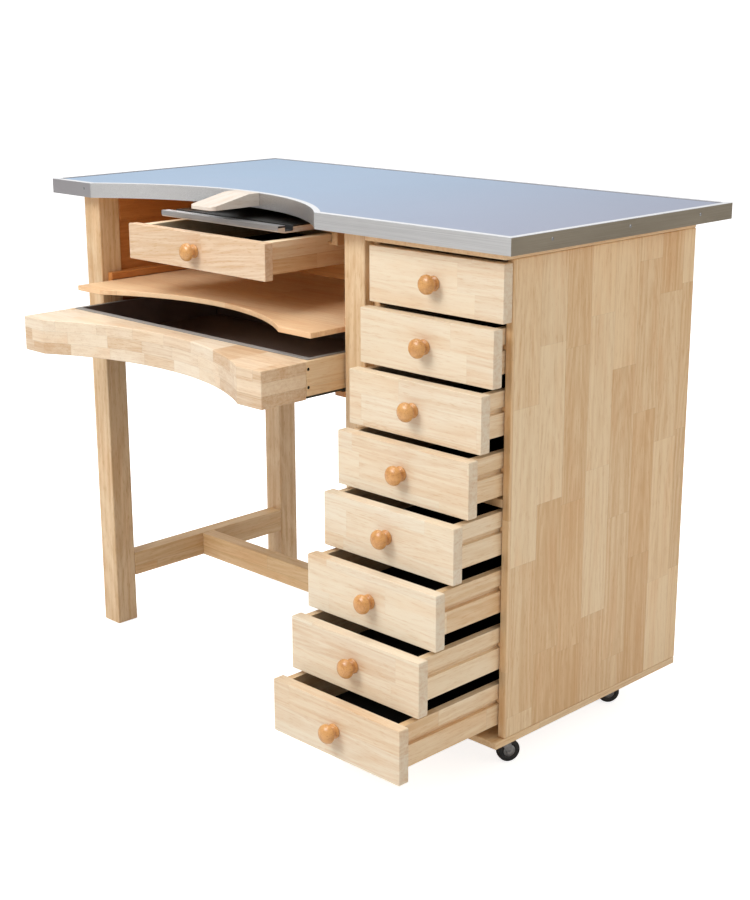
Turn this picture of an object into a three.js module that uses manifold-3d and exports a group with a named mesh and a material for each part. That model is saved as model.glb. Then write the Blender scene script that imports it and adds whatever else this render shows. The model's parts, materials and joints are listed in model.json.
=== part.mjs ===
// A jeweller's bench: a table with a curved cut-out and a bench pin, sliding pieces under the cut-out,
// two legs on the left and a cabinet of drawers on casters on the right.
// Millimetres. X runs to the right, Y to the back and Z up from the floor.
// The drawers and sliding pieces are placed as far out as they stand at rest.
import * as THREE from "three";
import { mergeVertices } from "three/addons/utils/BufferGeometryUtils.js";
import Module from "manifold-3d";

const wasm = await Module();
wasm.setup();

// Clearances
const FIT_GAP = 0.3; // between fixed pieces that touch
const SLIDE_GAP = 1; // each side of a piece that slides in a groove or on a ledge
const BAY_GAP = 3; // each side of the catch tray between the leg and the post
const CUT_OVERRUN = 1; // how far a cutter runs past the face it opens

// Table top
const TOP_WIDTH = 1220;
const TOP_DEPTH = 610;
const BENCH_HEIGHT = 950;
const BAND_HEIGHT = 29;
const BAND_THICK = 2.5;
const BAND_FLANGE = 11; // width of the band's level rim round the sheet
const RIM_PROUD = 1; // how far the rim stands above the sheet
const SHEET_THICK = 1.2;

// Curved cut-out in the front of the table top
const CUTOUT_DEPTH = 124;
const CUTOUT_LEFT_MARGIN = 16; // from the front leg to the left end of the curve
const CUTOUT_RIGHT_MARGIN = 44; // from the right end of the curve to the cabinet post
const WORK_OFFSET = 10; // pin, shallow drawer and slide-out board to the right of the middle of the curve
const TOP_ARC_STEPS = 32;

// Bench pin
const PIN_WIDTH = 68;
const PIN_LENGTH = 118;
const PIN_THICK = 24;
const PIN_FLAT = 28; // level part of the top, next to the band
const PIN_TIP_THICK = 6;
const PIN_CORNER_RADIUS = 12; // of the front corners, in plan
const PIN_ARC_STEPS = 8;
const PIN_TENON_WIDTH = 50;
const PIN_TENON_THICK = 12;
const PIN_TENON_LENGTH = 45;

// Legs, posts and stretchers
const FRAME_SETBACK = 28; // from the table's front edge to the legs, posts and closed drawer fronts
const FRAME_DEPTH = 524;
const LEG_SIDE = 50;
const LEG_INSET = 66; // from the table's left edge to the legs
const STRETCHER_TOP = 150;
const STRETCHER_HEIGHT = 50;
const STRETCHER_THICK = 32;
const CROSS_STRETCHER_SETBACK = 266; // from the table's front edge

// Boards round the bay between the left legs and the cabinet
const BAY_RAIL_HEIGHT = 54;
const BAY_RAIL_THICK = 20;
const BAY_PANEL_THICK = 12;
const BAY_PANEL_RECESS = 6; // panel face behind the faces of the legs
const BAY_BACK_THICK = 12;
const BAY_BACK_BELOW_TRAY = 6;
const GUIDE_WIDTH = 14; // strip beside the arm-rest shelf
const GUIDE_LIP = 14; // height of the strip above and below its groove
const LEDGER_WIDTH = 26; // strip under the catch tray
const LEDGER_THICK = 10;

// Arm-rest shelf
const SHELF_DROP = 200; // from the top of the table to the top of the shelf
const SHELF_THICK = 10;
const SHELF_SIDE_GAP = 12; // from the leg or post to the edge of the shelf
const SHELF_LENGTH = 420;
const SHELF_REST_FRONT = -41; // front edge at rest, from the table's front edge
const SHELF_ARC_LEFT = 74; // straight front edge at the left of the curve
const SHELF_ARC_RIGHT = 84;
const SHELF_ARC_DEPTH = 80;

// Catch tray
const TRAY_DROP = 246;
const TRAY_FRONT_HEIGHT = 67;
const TRAY_FRONT_DEPTH = 103; // to the front ends of the side boards
const TRAY_TONGUE = 22; // front block behind that line, between the side boards
const TRAY_LENGTH = 490;
const TRAY_REST_FRONT = -164;
const TRAY_ARC_MARGIN = 63; // straight front edge at each end of the curve
const TRAY_ARC_DEPTH = 78;
const TRAY_SIDE_THICK = 15;
const TRAY_SIDE_RAISE = 6; // bottom of the side boards above the bottom of the front block
const TRAY_BOTTOM_THICK = 4;
const PAN_WALL = 1.5;
const PAN_FLANGE = 12;
const PAN_FLANGE_THICK = 1.2;
const FRONT_ARC_STEPS = 24;

// Shallow drawer under the table top
const UPPER_DROP = 65; // from the top of the table to the top of the drawer front
const UPPER_FRONT_WIDTH = 396;
const UPPER_FRONT_HEIGHT = 68;
const UPPER_FRONT_THICK = 19;
const UPPER_BOX_WIDTH = 354;
const UPPER_BOX_LENGTH = 370;
const UPPER_BOX_RAISE = 6; // box bottom above the bottom of the front
const UPPER_BOX_LOWER = 2; // box top below the top of the front
const UPPER_STRIP_WIDTH = 8; // hanging strip outside the top of each side
const UPPER_STRIP_HEIGHT = 12;
const UPPER_PULL = 153; // how far out it stands at rest
const UPPER_RUNNER_SETBACK = 160; // front ends of the runners, from the table's front edge
const UPPER_RUNNER_LENGTH = 375;
const RUNNER_WEB = 16;
const RUNNER_STRIP_GAP = 3; // between the web and the hanging strip
const RUNNER_FOOT_THICK = 6;
const RUNNER_LEDGE_THICK = 6;

// Slide-out board above the shallow drawer
const SLIDE_BOARD_DROP = 44;
const SLIDE_BOARD_WIDTH = 338;
const SLIDE_BOARD_THICK = 13;
const SLIDE_BOARD_LENGTH = 375;
const SLIDE_BOARD_REST_FRONT = 47;
const SLIDE_BOARD_BEARING = 10; // width of each end that rests on a runner ledge
const LIP_DEPTH = 17;
const LIP_UNDERCUT = 3; // rise of the underside at the front of the lip
const TOOL_GROOVE_WIDTH = 16; // at the floor of the groove
const TOOL_GROOVE_DEPTH = 9;
const TOOL_GROOVE_SLOPE = 2; // how far the rear wall leans back

// Cabinet
const CABINET_INSET = 35; // from the table's right edge to the cabinet's right panel
const PANEL_THICK = 15;
const DRAWER_BAY_WIDTH = 281; // between the inner faces of the panels
const CABINET_TOP_THICK = 13;
const BASE_THICK = 13;
const BACK_PANEL_THICK = 9;
const MID_RAIL_THICK = 14;
const MID_RAIL_DEPTH = 60;
const MID_RAIL_ABOVE_DRAWER = 4; // the rail stands over this drawer, counted from the top at 0

// Cabinet drawers
const DRAWER_PULLS = [0, 22, 49, 77, 111, 151, 190, 234]; // how far each stands out at rest
const DRAWER_GAP = 6.4; // between two fronts
const DRAWER_TOP_GAP = 6;
const DRAWER_BOTTOM_GAP = 5.2;
const FRONT_THICK = 21.5;
const FRONT_STOP_GAP = 0.5;
const FRONT_RIGHT_INSET = 2; // from the cabinet's right face to the end of a front
const FRONT_LEFT_LAP = 4; // front over the edge of the left panel
const BOX_LOWER = 4; // box top below the top of the front
const BOX_RAISE = 17; // box bottom above the bottom of the front
const BOX_SIDE_THICK = 13;
const BOX_BACK_THICK = 12;
const BOX_BOTTOM_THICK = 4;
const BOX_BOTTOM_RAISE = 5; // bottom board above the lower edges of the sides
const BOX_SIDE_GAP = 1.5;
const BOX_REAR_GAP = 12;
const DRAWER_RUNNER_HEIGHT = 9;
const DRAWER_RUNNER_PROUD = 7.5; // from the panel
const DRAWER_RUNNER_SETBACK = 3; // from the panel's front edge
const DRAWER_RUNNER_DROP = 32; // from the top of the box to the middle of the runner
const RUNNER_GAP = 0.6; // all round a runner in its groove

// Turned knobs
const KNOB_LENGTH = 29;
const KNOB_HEAD_LENGTH = 14.5;
const KNOB_HEAD_RADIUS = 17;
const KNOB_NECK_RADIUS = 9;
const KNOB_FLANGE_RADIUS = 13;
const KNOB_FLANGE_THICK = 5;
const KNOB_NECK_SLOPE = 1; // from the flange to the neck
const KNOB_HEAD_SLOPE = 2; // from the neck to the head
const KNOB_SIDES = 20;
const KNOB_DOME_STEPS = 6;

// Casters
const CASTER_HEIGHT = 71;
const CASTER_INSET = 63; // from the sides of the base board to the stems
const CASTER_FRONT_INSET = 77;
const CASTER_REAR_INSET = 86;
const CASTER_TRAIL = 22;
const CASTER_TURNS = { front_right: 65, rear_right: 229, front_left: 60, rear_left: 80 }; // degrees
const WHEEL_RADIUS = 21;
const WHEEL_WIDTH = 16;
const WHEEL_HUB_RADIUS = 12;
const WHEEL_HUB_RECESS = 1.5;
const WHEEL_SIDES = 28;
const WHEEL_GAP = 1; // between the wheel and each fork plate
const AXLE_RADIUS = 3;
const AXLE_GAP = 0.4;
const FORK_PLATE = 2.5;
const FORK_TOP_THICK = 4;
const FORK_TOP_RADIUS = 17;
const FORK_FRONT_REACH = 12; // top of a side plate in front of the stem
const FORK_REAR_REACH = 15; // and behind it
const FORK_EAR_RADIUS = 6; // round the axle
const FORK_ARC_STEPS = 8;
const FORK_OVERLAP = 1; // side plates into the top plate
const AXLE_PROUD = 1.25; // beyond the side plates
const STEM_RADIUS = 8;
const STEM_HEIGHT = 4;

// Finishes, as three.js colours, roughness and metalness
const FINISHES = {
  wood: { color: 0xdcbb8c, roughness: 0.55, metalness: 0 },
  knobWood: { color: 0xc98a4a, roughness: 0.25, metalness: 0 },
  sheet: { color: 0x9aa7b8, roughness: 0.5, metalness: 0.5 },
  band: { color: 0xb0b0b0, roughness: 0.35, metalness: 1 },
  blackBoard: { color: 0x151312, roughness: 0.7, metalness: 0 },
  pan: { color: 0x241e1c, roughness: 0.5, metalness: 0.4 },
  steel: { color: 0x6f7173, roughness: 0.35, metalness: 1 },
  tyre: { color: 0x18181a, roughness: 0.7, metalness: 0 },
};

// Places that several pieces share
const tableLeft = -TOP_WIDTH / 2;
const tableRight = TOP_WIDTH / 2;
const underside = BENCH_HEIGHT - BAND_HEIGHT;
const sheetTop = BENCH_HEIGHT - RIM_PROUD;
const sheetBottom = sheetTop - SHEET_THICK;
const boardTop = sheetBottom - FIT_GAP;
const frameTop = underside - FIT_GAP;
const frameFront = FRAME_SETBACK;
const frameRear = frameFront + FRAME_DEPTH;
const legLeft = tableLeft + LEG_INSET;
const bayLeft = legLeft + LEG_SIDE;
const cabinetRight = tableRight - CABINET_INSET;
const drawerBayRight = cabinetRight - PANEL_THICK;
const drawerBayLeft = drawerBayRight - DRAWER_BAY_WIDTH;
const leftPanelOuter = drawerBayLeft - PANEL_THICK;
const postRight = leftPanelOuter - FIT_GAP;
const bayRight = postRight - LEG_SIDE;
const rearLegFront = frameRear - LEG_SIDE;
const frontLegRear = frameFront + LEG_SIDE;
const bayBackFront = frameRear - BAY_BACK_THICK;
const cutoutLeft = bayLeft + CUTOUT_LEFT_MARGIN;
const cutoutRight = bayRight - CUTOUT_RIGHT_MARGIN;
const cutoutCentre = (cutoutLeft + cutoutRight) / 2;
const cutoutRadius = arcRadius(cutoutRight - cutoutLeft, CUTOUT_DEPTH);
const cutoutCentreY = CUTOUT_DEPTH - cutoutRadius;
const workCentre = cutoutCentre + WORK_OFFSET;
const panelFront = frameFront + FRONT_THICK + FRONT_STOP_GAP;
const backPanelFront = frameRear - BACK_PANEL_THICK;
const baseBottom = CASTER_HEIGHT;
const baseTop = baseBottom + BASE_THICK;
const carcassBottom = baseTop + FIT_GAP;
const cabinetTopBottom = underside - CABINET_TOP_THICK;
const carcassTop = cabinetTopBottom - FIT_GAP;
const shelfTop = BENCH_HEIGHT - SHELF_DROP;
const shelfBottom = shelfTop - SHELF_THICK;
const trayTop = BENCH_HEIGHT - TRAY_DROP;
const trayBottom = trayTop - TRAY_FRONT_HEIGHT;
const ledgerTop = trayBottom - SLIDE_GAP;
const ledgerBottom = ledgerTop - LEDGER_THICK;
const slideBoardTop = BENCH_HEIGHT - SLIDE_BOARD_DROP;
const slideBoardBottom = slideBoardTop - SLIDE_BOARD_THICK;
const upperFrontTop = BENCH_HEIGHT - UPPER_DROP;
const upperBoxTop = upperFrontTop - UPPER_BOX_LOWER;

// Stack of cabinet drawers: the fronts share the height between the base and the cabinet top
const drawerCount = DRAWER_PULLS.length;
const stackTop = cabinetTopBottom - DRAWER_TOP_GAP;
const stackBottom = baseTop + DRAWER_BOTTOM_GAP;
const drawerPitch = (stackTop - stackBottom + DRAWER_GAP) / drawerCount;
const frontHeight = drawerPitch - DRAWER_GAP;

// Radius of the circle whose arc has this chord and this depth
function arcRadius(chord, depth) {
  return (chord * chord / 4 + depth * depth) / (2 * depth);
}

// Box between two corners
function block(x0, x1, y0, y1, z0, z1) {
  const box = new THREE.BoxGeometry(x1 - x0, y1 - y0, z1 - z0);
  return box.translate((x0 + x1) / 2, (y0 + y1) / 2, (z0 + z1) / 2);
}

// Plan shape in X and Y, raised from z0 to z1
function raise(shape, z0, z1, curveSegments) {
  const solid = new THREE.ExtrudeGeometry(shape, { depth: z1 - z0, bevelEnabled: false, curveSegments });
  return solid.translate(0, 0, z0);
}

// Side shape in Y and Z, carried from x0 to x1
function carryAlongX(shape, x0, x1, curveSegments) {
  const solid = new THREE.ExtrudeGeometry(shape, { depth: x1 - x0, bevelEnabled: false, curveSegments });
  const axes = new THREE.Matrix4().makeBasis(
    new THREE.Vector3(0, 1, 0),
    new THREE.Vector3(0, 0, 1),
    new THREE.Vector3(1, 0, 0),
  );
  return solid.applyMatrix4(axes).translate(x0, 0, 0);
}

// Upright round bar
function uprightBar(x, y, radius, z0, z1, sides) {
  const bar = new THREE.CylinderGeometry(radius, radius, z1 - z0, sides);
  return bar.rotateX(Math.PI / 2).translate(x, y, (z0 + z1) / 2);
}

// Round bar across X
function crossBar(radius, x0, x1, y, z, sides) {
  const bar = new THREE.CylinderGeometry(radius, radius, x1 - x0, sides);
  return bar.rotateZ(Math.PI / 2).translate((x0 + x1) / 2, y, z);
}

// Solid for joins and cuts, from a closed geometry
function solidOf(geometry) {
  const bare = geometry.clone();
  bare.deleteAttribute("normal");
  bare.deleteAttribute("uv");
  const merged = mergeVertices(bare, 1e-3);
  const vertProperties = new Float32Array(merged.attributes.position.array);
  const triVerts = new Uint32Array(merged.index.array);
  return new wasm.Manifold(new wasm.Mesh({ numProp: 3, vertProperties, triVerts }));
}

// Geometry with flat faces, from a solid
function geometryOf(solid) {
  const { vertProperties, triVerts } = solid.getMesh();
  const geometry = new THREE.BufferGeometry();
  geometry.setAttribute("position", new THREE.BufferAttribute(vertProperties, 3));
  geometry.setIndex(new THREE.BufferAttribute(triVerts, 1));
  const flat = geometry.toNonIndexed();
  flat.computeVertexNormals();
  return flat;
}

function join(...geometries) {
  return geometryOf(geometries.map(solidOf).reduce((whole, piece) => whole.add(piece)));
}

function cut(geometry, ...cutters) {
  return geometryOf(cutters.map(solidOf).reduce((whole, piece) => whole.subtract(piece), solidOf(geometry)));
}

function common(geometry, other) {
  return geometryOf(solidOf(geometry).intersect(solidOf(other)));
}

// Named mesh with a material of its own
function piece(parent, name, geometry, finish) {
  const mesh = new THREE.Mesh(geometry, new THREE.MeshStandardMaterial(FINISHES[finish]));
  mesh.name = name;
  parent.add(mesh);
}

// Plan outline of the table top, moved inwards by inset all round; the curve keeps its centre
function tableOutline(inset) {
  const radius = cutoutRadius + inset;
  const frontAtCurve = inset - cutoutCentreY;
  const half = Math.sqrt(radius * radius - frontAtCurve * frontAtCurve);
  const start = Math.atan2(frontAtCurve, -half);
  const end = Math.atan2(frontAtCurve, half);
  const outline = new THREE.Shape();
  outline.moveTo(tableLeft + inset, inset);
  outline.lineTo(cutoutCentre - half, inset);
  outline.absarc(cutoutCentre, cutoutCentreY, radius, start, end, true);
  outline.lineTo(tableRight - inset, inset);
  outline.lineTo(tableRight - inset, TOP_DEPTH - inset);
  outline.lineTo(tableLeft + inset, TOP_DEPTH - inset);
  outline.closePath();
  return outline;
}

// Plan outline of a board whose front edge has a hollow curve between two straight ends
function curvedFrontOutline(left, right, front, rear, arcLeft, arcRight, arcDepth) {
  const radius = arcRadius(arcRight - arcLeft, arcDepth);
  const centreX = (arcLeft + arcRight) / 2;
  const centreY = front + arcDepth - radius;
  const start = Math.atan2(front - centreY, arcLeft - centreX);
  const end = Math.atan2(front - centreY, arcRight - centreX);
  const outline = new THREE.Shape();
  outline.moveTo(left, front);
  outline.lineTo(arcLeft, front);
  outline.absarc(centreX, centreY, radius, start, end, true);
  outline.lineTo(right, front);
  outline.lineTo(right, rear);
  outline.lineTo(left, rear);
  outline.closePath();
  return outline;
}

// Ring along the table's edge, as wide as given, raised from z0 to z1
function edgeRing(width, z0, z1) {
  const outline = tableOutline(0);
  outline.holes.push(tableOutline(width));
  return raise(outline, z0, z1, TOP_ARC_STEPS);
}

// Table top: board, sheet and angled edge band, with a slot for the tenon of the bench pin
function addTableTop(parent) {
  const tenonSlot = pinTenon(FIT_GAP);
  const board = raise(tableOutline(BAND_THICK + FIT_GAP), underside, boardTop, TOP_ARC_STEPS);
  piece(parent, "top_board", cut(board, tenonSlot), "wood");
  const sheetOutline = tableOutline(BAND_FLANGE + FIT_GAP);
  piece(parent, "top_sheet", raise(sheetOutline, sheetBottom, sheetTop, TOP_ARC_STEPS), "sheet");
  const face = edgeRing(BAND_THICK, underside, BENCH_HEIGHT);
  const rim = edgeRing(BAND_FLANGE, sheetBottom, BENCH_HEIGHT);
  piece(parent, "edge_band", cut(join(face, rim), tenonSlot), "band");
}

// Tenon of the bench pin, larger by gap all round for its slot
function pinTenon(gap) {
  const middle = BENCH_HEIGHT - PIN_THICK / 2;
  const halfWidth = PIN_TENON_WIDTH / 2 + gap;
  const halfThick = PIN_TENON_THICK / 2 + gap;
  return block(
    workCentre - halfWidth,
    workCentre + halfWidth,
    CUTOUT_DEPTH - PIN_FLAT / 2,
    CUTOUT_DEPTH + PIN_TENON_LENGTH + gap,
    middle - halfThick,
    middle + halfThick,
  );
}

// Wedge with a level top next to the band, a sloping front with round corners and a rear face on the curve
function addBenchPin(parent) {
  const bottom = BENCH_HEIGHT - PIN_THICK;
  const tip = CUTOUT_DEPTH - PIN_LENGTH;
  const left = workCentre - PIN_WIDTH / 2;
  const right = workCentre + PIN_WIDTH / 2;
  const side = new THREE.Shape();
  side.moveTo(tip, bottom);
  side.lineTo(CUTOUT_DEPTH, bottom);
  side.lineTo(CUTOUT_DEPTH, BENCH_HEIGHT);
  side.lineTo(CUTOUT_DEPTH - PIN_FLAT, BENCH_HEIGHT);
  side.lineTo(tip, bottom + PIN_TIP_THICK);
  side.closePath();
  const wedge = carryAlongX(side, left, right);
  const cornerY = tip + PIN_CORNER_RADIUS;
  const reach = cutoutRadius - FIT_GAP;
  const rearLeft = Math.acos((left - cutoutCentre) / reach);
  const rearRight = Math.acos((right - cutoutCentre) / reach);
  const plan = new THREE.Shape();
  plan.absarc(left + PIN_CORNER_RADIUS, cornerY, PIN_CORNER_RADIUS, Math.PI, Math.PI * 1.5, false);
  plan.absarc(right - PIN_CORNER_RADIUS, cornerY, PIN_CORNER_RADIUS, Math.PI * 1.5, Math.PI * 2, false);
  plan.absarc(cutoutCentre, cutoutCentreY, reach, rearRight, rearLeft, false);
  plan.closePath();
  const column = raise(plan, bottom - CUT_OVERRUN, BENCH_HEIGHT + CUT_OVERRUN, PIN_ARC_STEPS);
  piece(parent, "bench_pin", join(common(wedge, column), pinTenon(0)), "wood");
}

// Left legs and the stretchers that tie them to the cabinet
function addLegsAndStretchers(parent) {
  const stretcherBottom = STRETCHER_TOP - STRETCHER_HEIGHT;
  const frontLeg = block(legLeft, bayLeft, frameFront, frontLegRear, 0, frameTop);
  piece(parent, "leg_front_left", frontLeg, "wood");
  const rearLeg = block(legLeft, bayLeft, rearLegFront, frameRear, 0, frameTop);
  piece(parent, "leg_rear_left", rearLeg, "wood");
  const side = block(
    bayLeft - STRETCHER_THICK,
    bayLeft,
    frontLegRear + FIT_GAP,
    rearLegFront - FIT_GAP,
    stretcherBottom,
    STRETCHER_TOP,
  );
  piece(parent, "side_stretcher", side, "wood");
  const cross = block(
    bayLeft + FIT_GAP,
    leftPanelOuter - FIT_GAP,
    CROSS_STRETCHER_SETBACK,
    CROSS_STRETCHER_SETBACK + STRETCHER_THICK,
    stretcherBottom,
    STRETCHER_TOP,
  );
  piece(parent, "cross_stretcher", cross, "wood");
}

// Grooved guide for an edge of the shelf; side is 1 for a strip that points right and -1 for left
function shelfGuide(face, side) {
  const inner = face + side * GUIDE_WIDTH;
  const strip = block(
    Math.min(face, inner),
    Math.max(face, inner),
    frameFront + GUIDE_LIP,
    bayBackFront - FIT_GAP,
    shelfBottom - GUIDE_LIP - SLIDE_GAP,
    shelfTop + GUIDE_LIP + SLIDE_GAP,
  );
  const grooveFace = face + side * (SHELF_SIDE_GAP - SLIDE_GAP);
  const grooveEnd = face + side * (GUIDE_WIDTH + SLIDE_GAP);
  const groove = block(
    Math.min(grooveFace, grooveEnd),
    Math.max(grooveFace, grooveEnd),
    frameFront,
    frameRear,
    shelfBottom - SLIDE_GAP,
    shelfTop + SLIDE_GAP,
  );
  return cut(strip, groove);
}

// Ledger under a side of the catch tray
function trayLedger(face, side) {
  const inner = face + side * LEDGER_WIDTH;
  return block(
    Math.min(face, inner),
    Math.max(face, inner),
    frameFront,
    bayBackFront - FIT_GAP,
    ledgerBottom,
    ledgerTop,
  );
}

// Boards that close the bay: left side, right side and back, with the guides and ledgers glued on
function addBayBoards(parent) {
  const legGap = bayLeft + FIT_GAP;
  const postGap = bayRight - FIT_GAP;
  const boardFront = frontLegRear + FIT_GAP;
  const boardRear = rearLegFront - FIT_GAP;
  const leftFace = bayLeft - BAY_PANEL_RECESS;
  const rightFace = bayRight + BAY_PANEL_RECESS;
  const railBottom = frameTop - BAY_RAIL_HEIGHT;
  const leftPanel = block(
    leftFace - BAY_PANEL_THICK,
    leftFace,
    boardFront,
    boardRear,
    ledgerBottom,
    frameTop,
  );
  const leftRail = block(bayLeft - BAY_RAIL_THICK, bayLeft, boardFront, boardRear, railBottom, frameTop);
  const leftBattens = bayBattens(leftFace, legGap, boardFront, boardRear);
  const leftSide = join(leftPanel, leftRail, ...leftBattens, shelfGuide(legGap, 1), trayLedger(legGap, 1));
  piece(parent, "bay_left_side", leftSide, "wood");
  const rightPanel = block(
    rightFace,
    rightFace + BAY_PANEL_THICK,
    boardFront,
    boardRear,
    ledgerBottom,
    frameTop,
  );
  const rightBattens = bayBattens(postGap, rightFace, boardFront, boardRear);
  const rightSide = join(rightPanel, ...rightBattens, shelfGuide(postGap, -1), trayLedger(postGap, -1));
  piece(parent, "bay_right_side", rightSide, "wood");
  const back = block(
    bayLeft + FIT_GAP,
    bayRight - FIT_GAP,
    bayBackFront,
    frameRear,
    ledgerBottom - BAY_BACK_BELOW_TRAY,
    frameTop,
  );
  piece(parent, "bay_back_board", back, "wood");
}

// Fillers that carry a guide and a ledger on a panel set back behind the legs
function bayBattens(x0, x1, y0, y1) {
  const guideBottom = shelfBottom - GUIDE_LIP - SLIDE_GAP;
  const guideTop = shelfTop + GUIDE_LIP + SLIDE_GAP;
  return [block(x0, x1, y0, y1, guideBottom, guideTop), block(x0, x1, y0, y1, ledgerBottom, ledgerTop)];
}

// Board that slides in the guides, with a curved front edge
function addShelf(parent) {
  const left = bayLeft + SHELF_SIDE_GAP;
  const right = bayRight - SHELF_SIDE_GAP;
  const outline = curvedFrontOutline(
    left,
    right,
    SHELF_REST_FRONT,
    SHELF_REST_FRONT + SHELF_LENGTH,
    left + SHELF_ARC_LEFT,
    right - SHELF_ARC_RIGHT,
    SHELF_ARC_DEPTH,
  );
  piece(parent, "arm_rest_shelf", raise(outline, shelfBottom, shelfTop, FRONT_ARC_STEPS), "wood");
}

// Catch tray: curved front block, frame of side and back boards with a thin bottom, and a metal pan
function addCatchTray(parent) {
  const left = bayLeft + BAY_GAP;
  const right = bayRight - BAY_GAP;
  const front = TRAY_REST_FRONT;
  const sideFront = front + TRAY_FRONT_DEPTH;
  const tongueRear = sideFront + TRAY_TONGUE;
  const rear = front + TRAY_LENGTH;
  const sideBottom = trayBottom + TRAY_SIDE_RAISE;
  const floorBottom = sideBottom - TRAY_BOTTOM_THICK;
  const innerLeft = left + TRAY_SIDE_THICK;
  const innerRight = right - TRAY_SIDE_THICK;
  const outline = curvedFrontOutline(
    left,
    right,
    front,
    tongueRear,
    left + TRAY_ARC_MARGIN,
    right - TRAY_ARC_MARGIN,
    TRAY_ARC_DEPTH,
  );
  const wholeFront = raise(outline, trayBottom, trayTop, FRONT_ARC_STEPS);
  const outerLeft = left - CUT_OVERRUN;
  const outerRight = right + CUT_OVERRUN;
  const cutRear = tongueRear + CUT_OVERRUN;
  const cutBottom = trayBottom - CUT_OVERRUN;
  const frontRebates = [
    block(outerLeft, innerLeft + FIT_GAP, sideFront, cutRear, cutBottom, trayTop + CUT_OVERRUN),
    block(innerRight - FIT_GAP, outerRight, sideFront, cutRear, cutBottom, trayTop + CUT_OVERRUN),
    block(outerLeft, outerRight, sideFront, cutRear, cutBottom, sideBottom + FIT_GAP),
  ];
  piece(parent, "tray_front", cut(wholeFront, ...frontRebates), "wood");
  const boardFront = sideFront + FIT_GAP;
  const boards = [
    block(left, innerLeft, boardFront, rear, sideBottom, trayTop),
    block(innerRight, right, boardFront, rear, sideBottom, trayTop),
    block(left, right, rear - TRAY_SIDE_THICK, rear, sideBottom, trayTop),
    block(left, right, boardFront, rear, floorBottom, sideBottom),
  ];
  piece(parent, "tray_frame", join(...boards), "wood");
  const panLeft = innerLeft + FIT_GAP;
  const panRight = innerRight - FIT_GAP;
  const panFront = tongueRear + FIT_GAP;
  const panRear = rear - TRAY_SIDE_THICK - FIT_GAP;
  const panBottom = sideBottom + FIT_GAP;
  const panTop = trayTop + FIT_GAP + PAN_FLANGE_THICK;
  const sideFlange = TRAY_SIDE_THICK / 2;
  const flange = block(
    panLeft - sideFlange,
    panRight + sideFlange,
    panFront - PAN_FLANGE,
    panRear + sideFlange,
    trayTop + FIT_GAP,
    panTop,
  );
  const shell = block(panLeft, panRight, panFront, panRear, panBottom, panTop);
  const hollow = block(
    panLeft + PAN_WALL,
    panRight - PAN_WALL,
    panFront + PAN_WALL,
    panRear - PAN_WALL,
    panBottom + PAN_WALL,
    panTop + CUT_OVERRUN,
  );
  piece(parent, "tray_pan", cut(join(shell, flange), hollow), "pan");
}

// Shape of a turned knob, pointing to the front from the point given
function knobAt(x, frontY, z) {
  const neckEnd = KNOB_LENGTH - KNOB_HEAD_LENGTH;
  const profile = [
    new THREE.Vector2(0, FIT_GAP),
    new THREE.Vector2(KNOB_FLANGE_RADIUS, FIT_GAP),
    new THREE.Vector2(KNOB_FLANGE_RADIUS, KNOB_FLANGE_THICK),
    new THREE.Vector2(KNOB_NECK_RADIUS, KNOB_FLANGE_THICK + KNOB_NECK_SLOPE),
    new THREE.Vector2(KNOB_NECK_RADIUS, neckEnd - KNOB_HEAD_SLOPE),
  ];
  for (let step = 0; step < KNOB_DOME_STEPS; step += 1) {
    const turn = (step / KNOB_DOME_STEPS) * (Math.PI / 2);
    const radius = KNOB_HEAD_RADIUS * Math.cos(turn);
    profile.push(new THREE.Vector2(radius, neckEnd + KNOB_HEAD_LENGTH * Math.sin(turn)));
  }
  profile.push(new THREE.Vector2(0, KNOB_LENGTH));
  const turned = new THREE.LatheGeometry(profile, KNOB_SIDES);
  return turned.rotateZ(Math.PI).translate(x, frontY, z);
}

// Shallow drawer hung by strips on its sides, in its closed place inside a group that pulls it out
function addUpperDrawer(parent) {
  const drawer = new THREE.Group();
  drawer.position.y = -UPPER_PULL;
  parent.add(drawer);
  const rearOfFront = UPPER_RUNNER_SETBACK - FRONT_STOP_GAP;
  const faceOfFront = rearOfFront - UPPER_FRONT_THICK;
  const frontBottom = upperFrontTop - UPPER_FRONT_HEIGHT;
  const front = block(
    workCentre - UPPER_FRONT_WIDTH / 2,
    workCentre + UPPER_FRONT_WIDTH / 2,
    faceOfFront,
    rearOfFront,
    frontBottom,
    upperFrontTop,
  );
  piece(drawer, "upper_drawer_front", front, "wood");
  const boxLeft = workCentre - UPPER_BOX_WIDTH / 2;
  const boxRight = workCentre + UPPER_BOX_WIDTH / 2;
  const boxFront = rearOfFront + FIT_GAP;
  const boxRear = boxFront + UPPER_BOX_LENGTH;
  const boxBottom = frontBottom + UPPER_BOX_RAISE;
  const stripBottom = upperBoxTop - UPPER_STRIP_HEIGHT;
  const box = join(
    openBox(boxLeft, boxRight, boxFront, boxRear, boxBottom, upperBoxTop),
    block(boxLeft - UPPER_STRIP_WIDTH, boxLeft, boxFront, boxRear, stripBottom, upperBoxTop),
    block(boxRight, boxRight + UPPER_STRIP_WIDTH, boxFront, boxRear, stripBottom, upperBoxTop),
  );
  piece(drawer, "upper_drawer_box", box, "wood");
  const knobZ = (upperFrontTop + frontBottom) / 2;
  piece(drawer, "upper_drawer_knob", knobAt(workCentre, faceOfFront, knobZ), "knobWood");
}

// Drawer box without a front: two sides, a back and a bottom set a little above the lower edges
function openBox(left, right, front, rear, bottom, top) {
  const floorBottom = bottom + BOX_BOTTOM_RAISE;
  return join(
    block(left, left + BOX_SIDE_THICK, front, rear, bottom, top),
    block(right - BOX_SIDE_THICK, right, front, rear, bottom, top),
    block(left, right, rear - BOX_BACK_THICK, rear, bottom, top),
    block(left, right, front, rear, floorBottom, floorBottom + BOX_BOTTOM_THICK),
  );
}

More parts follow.
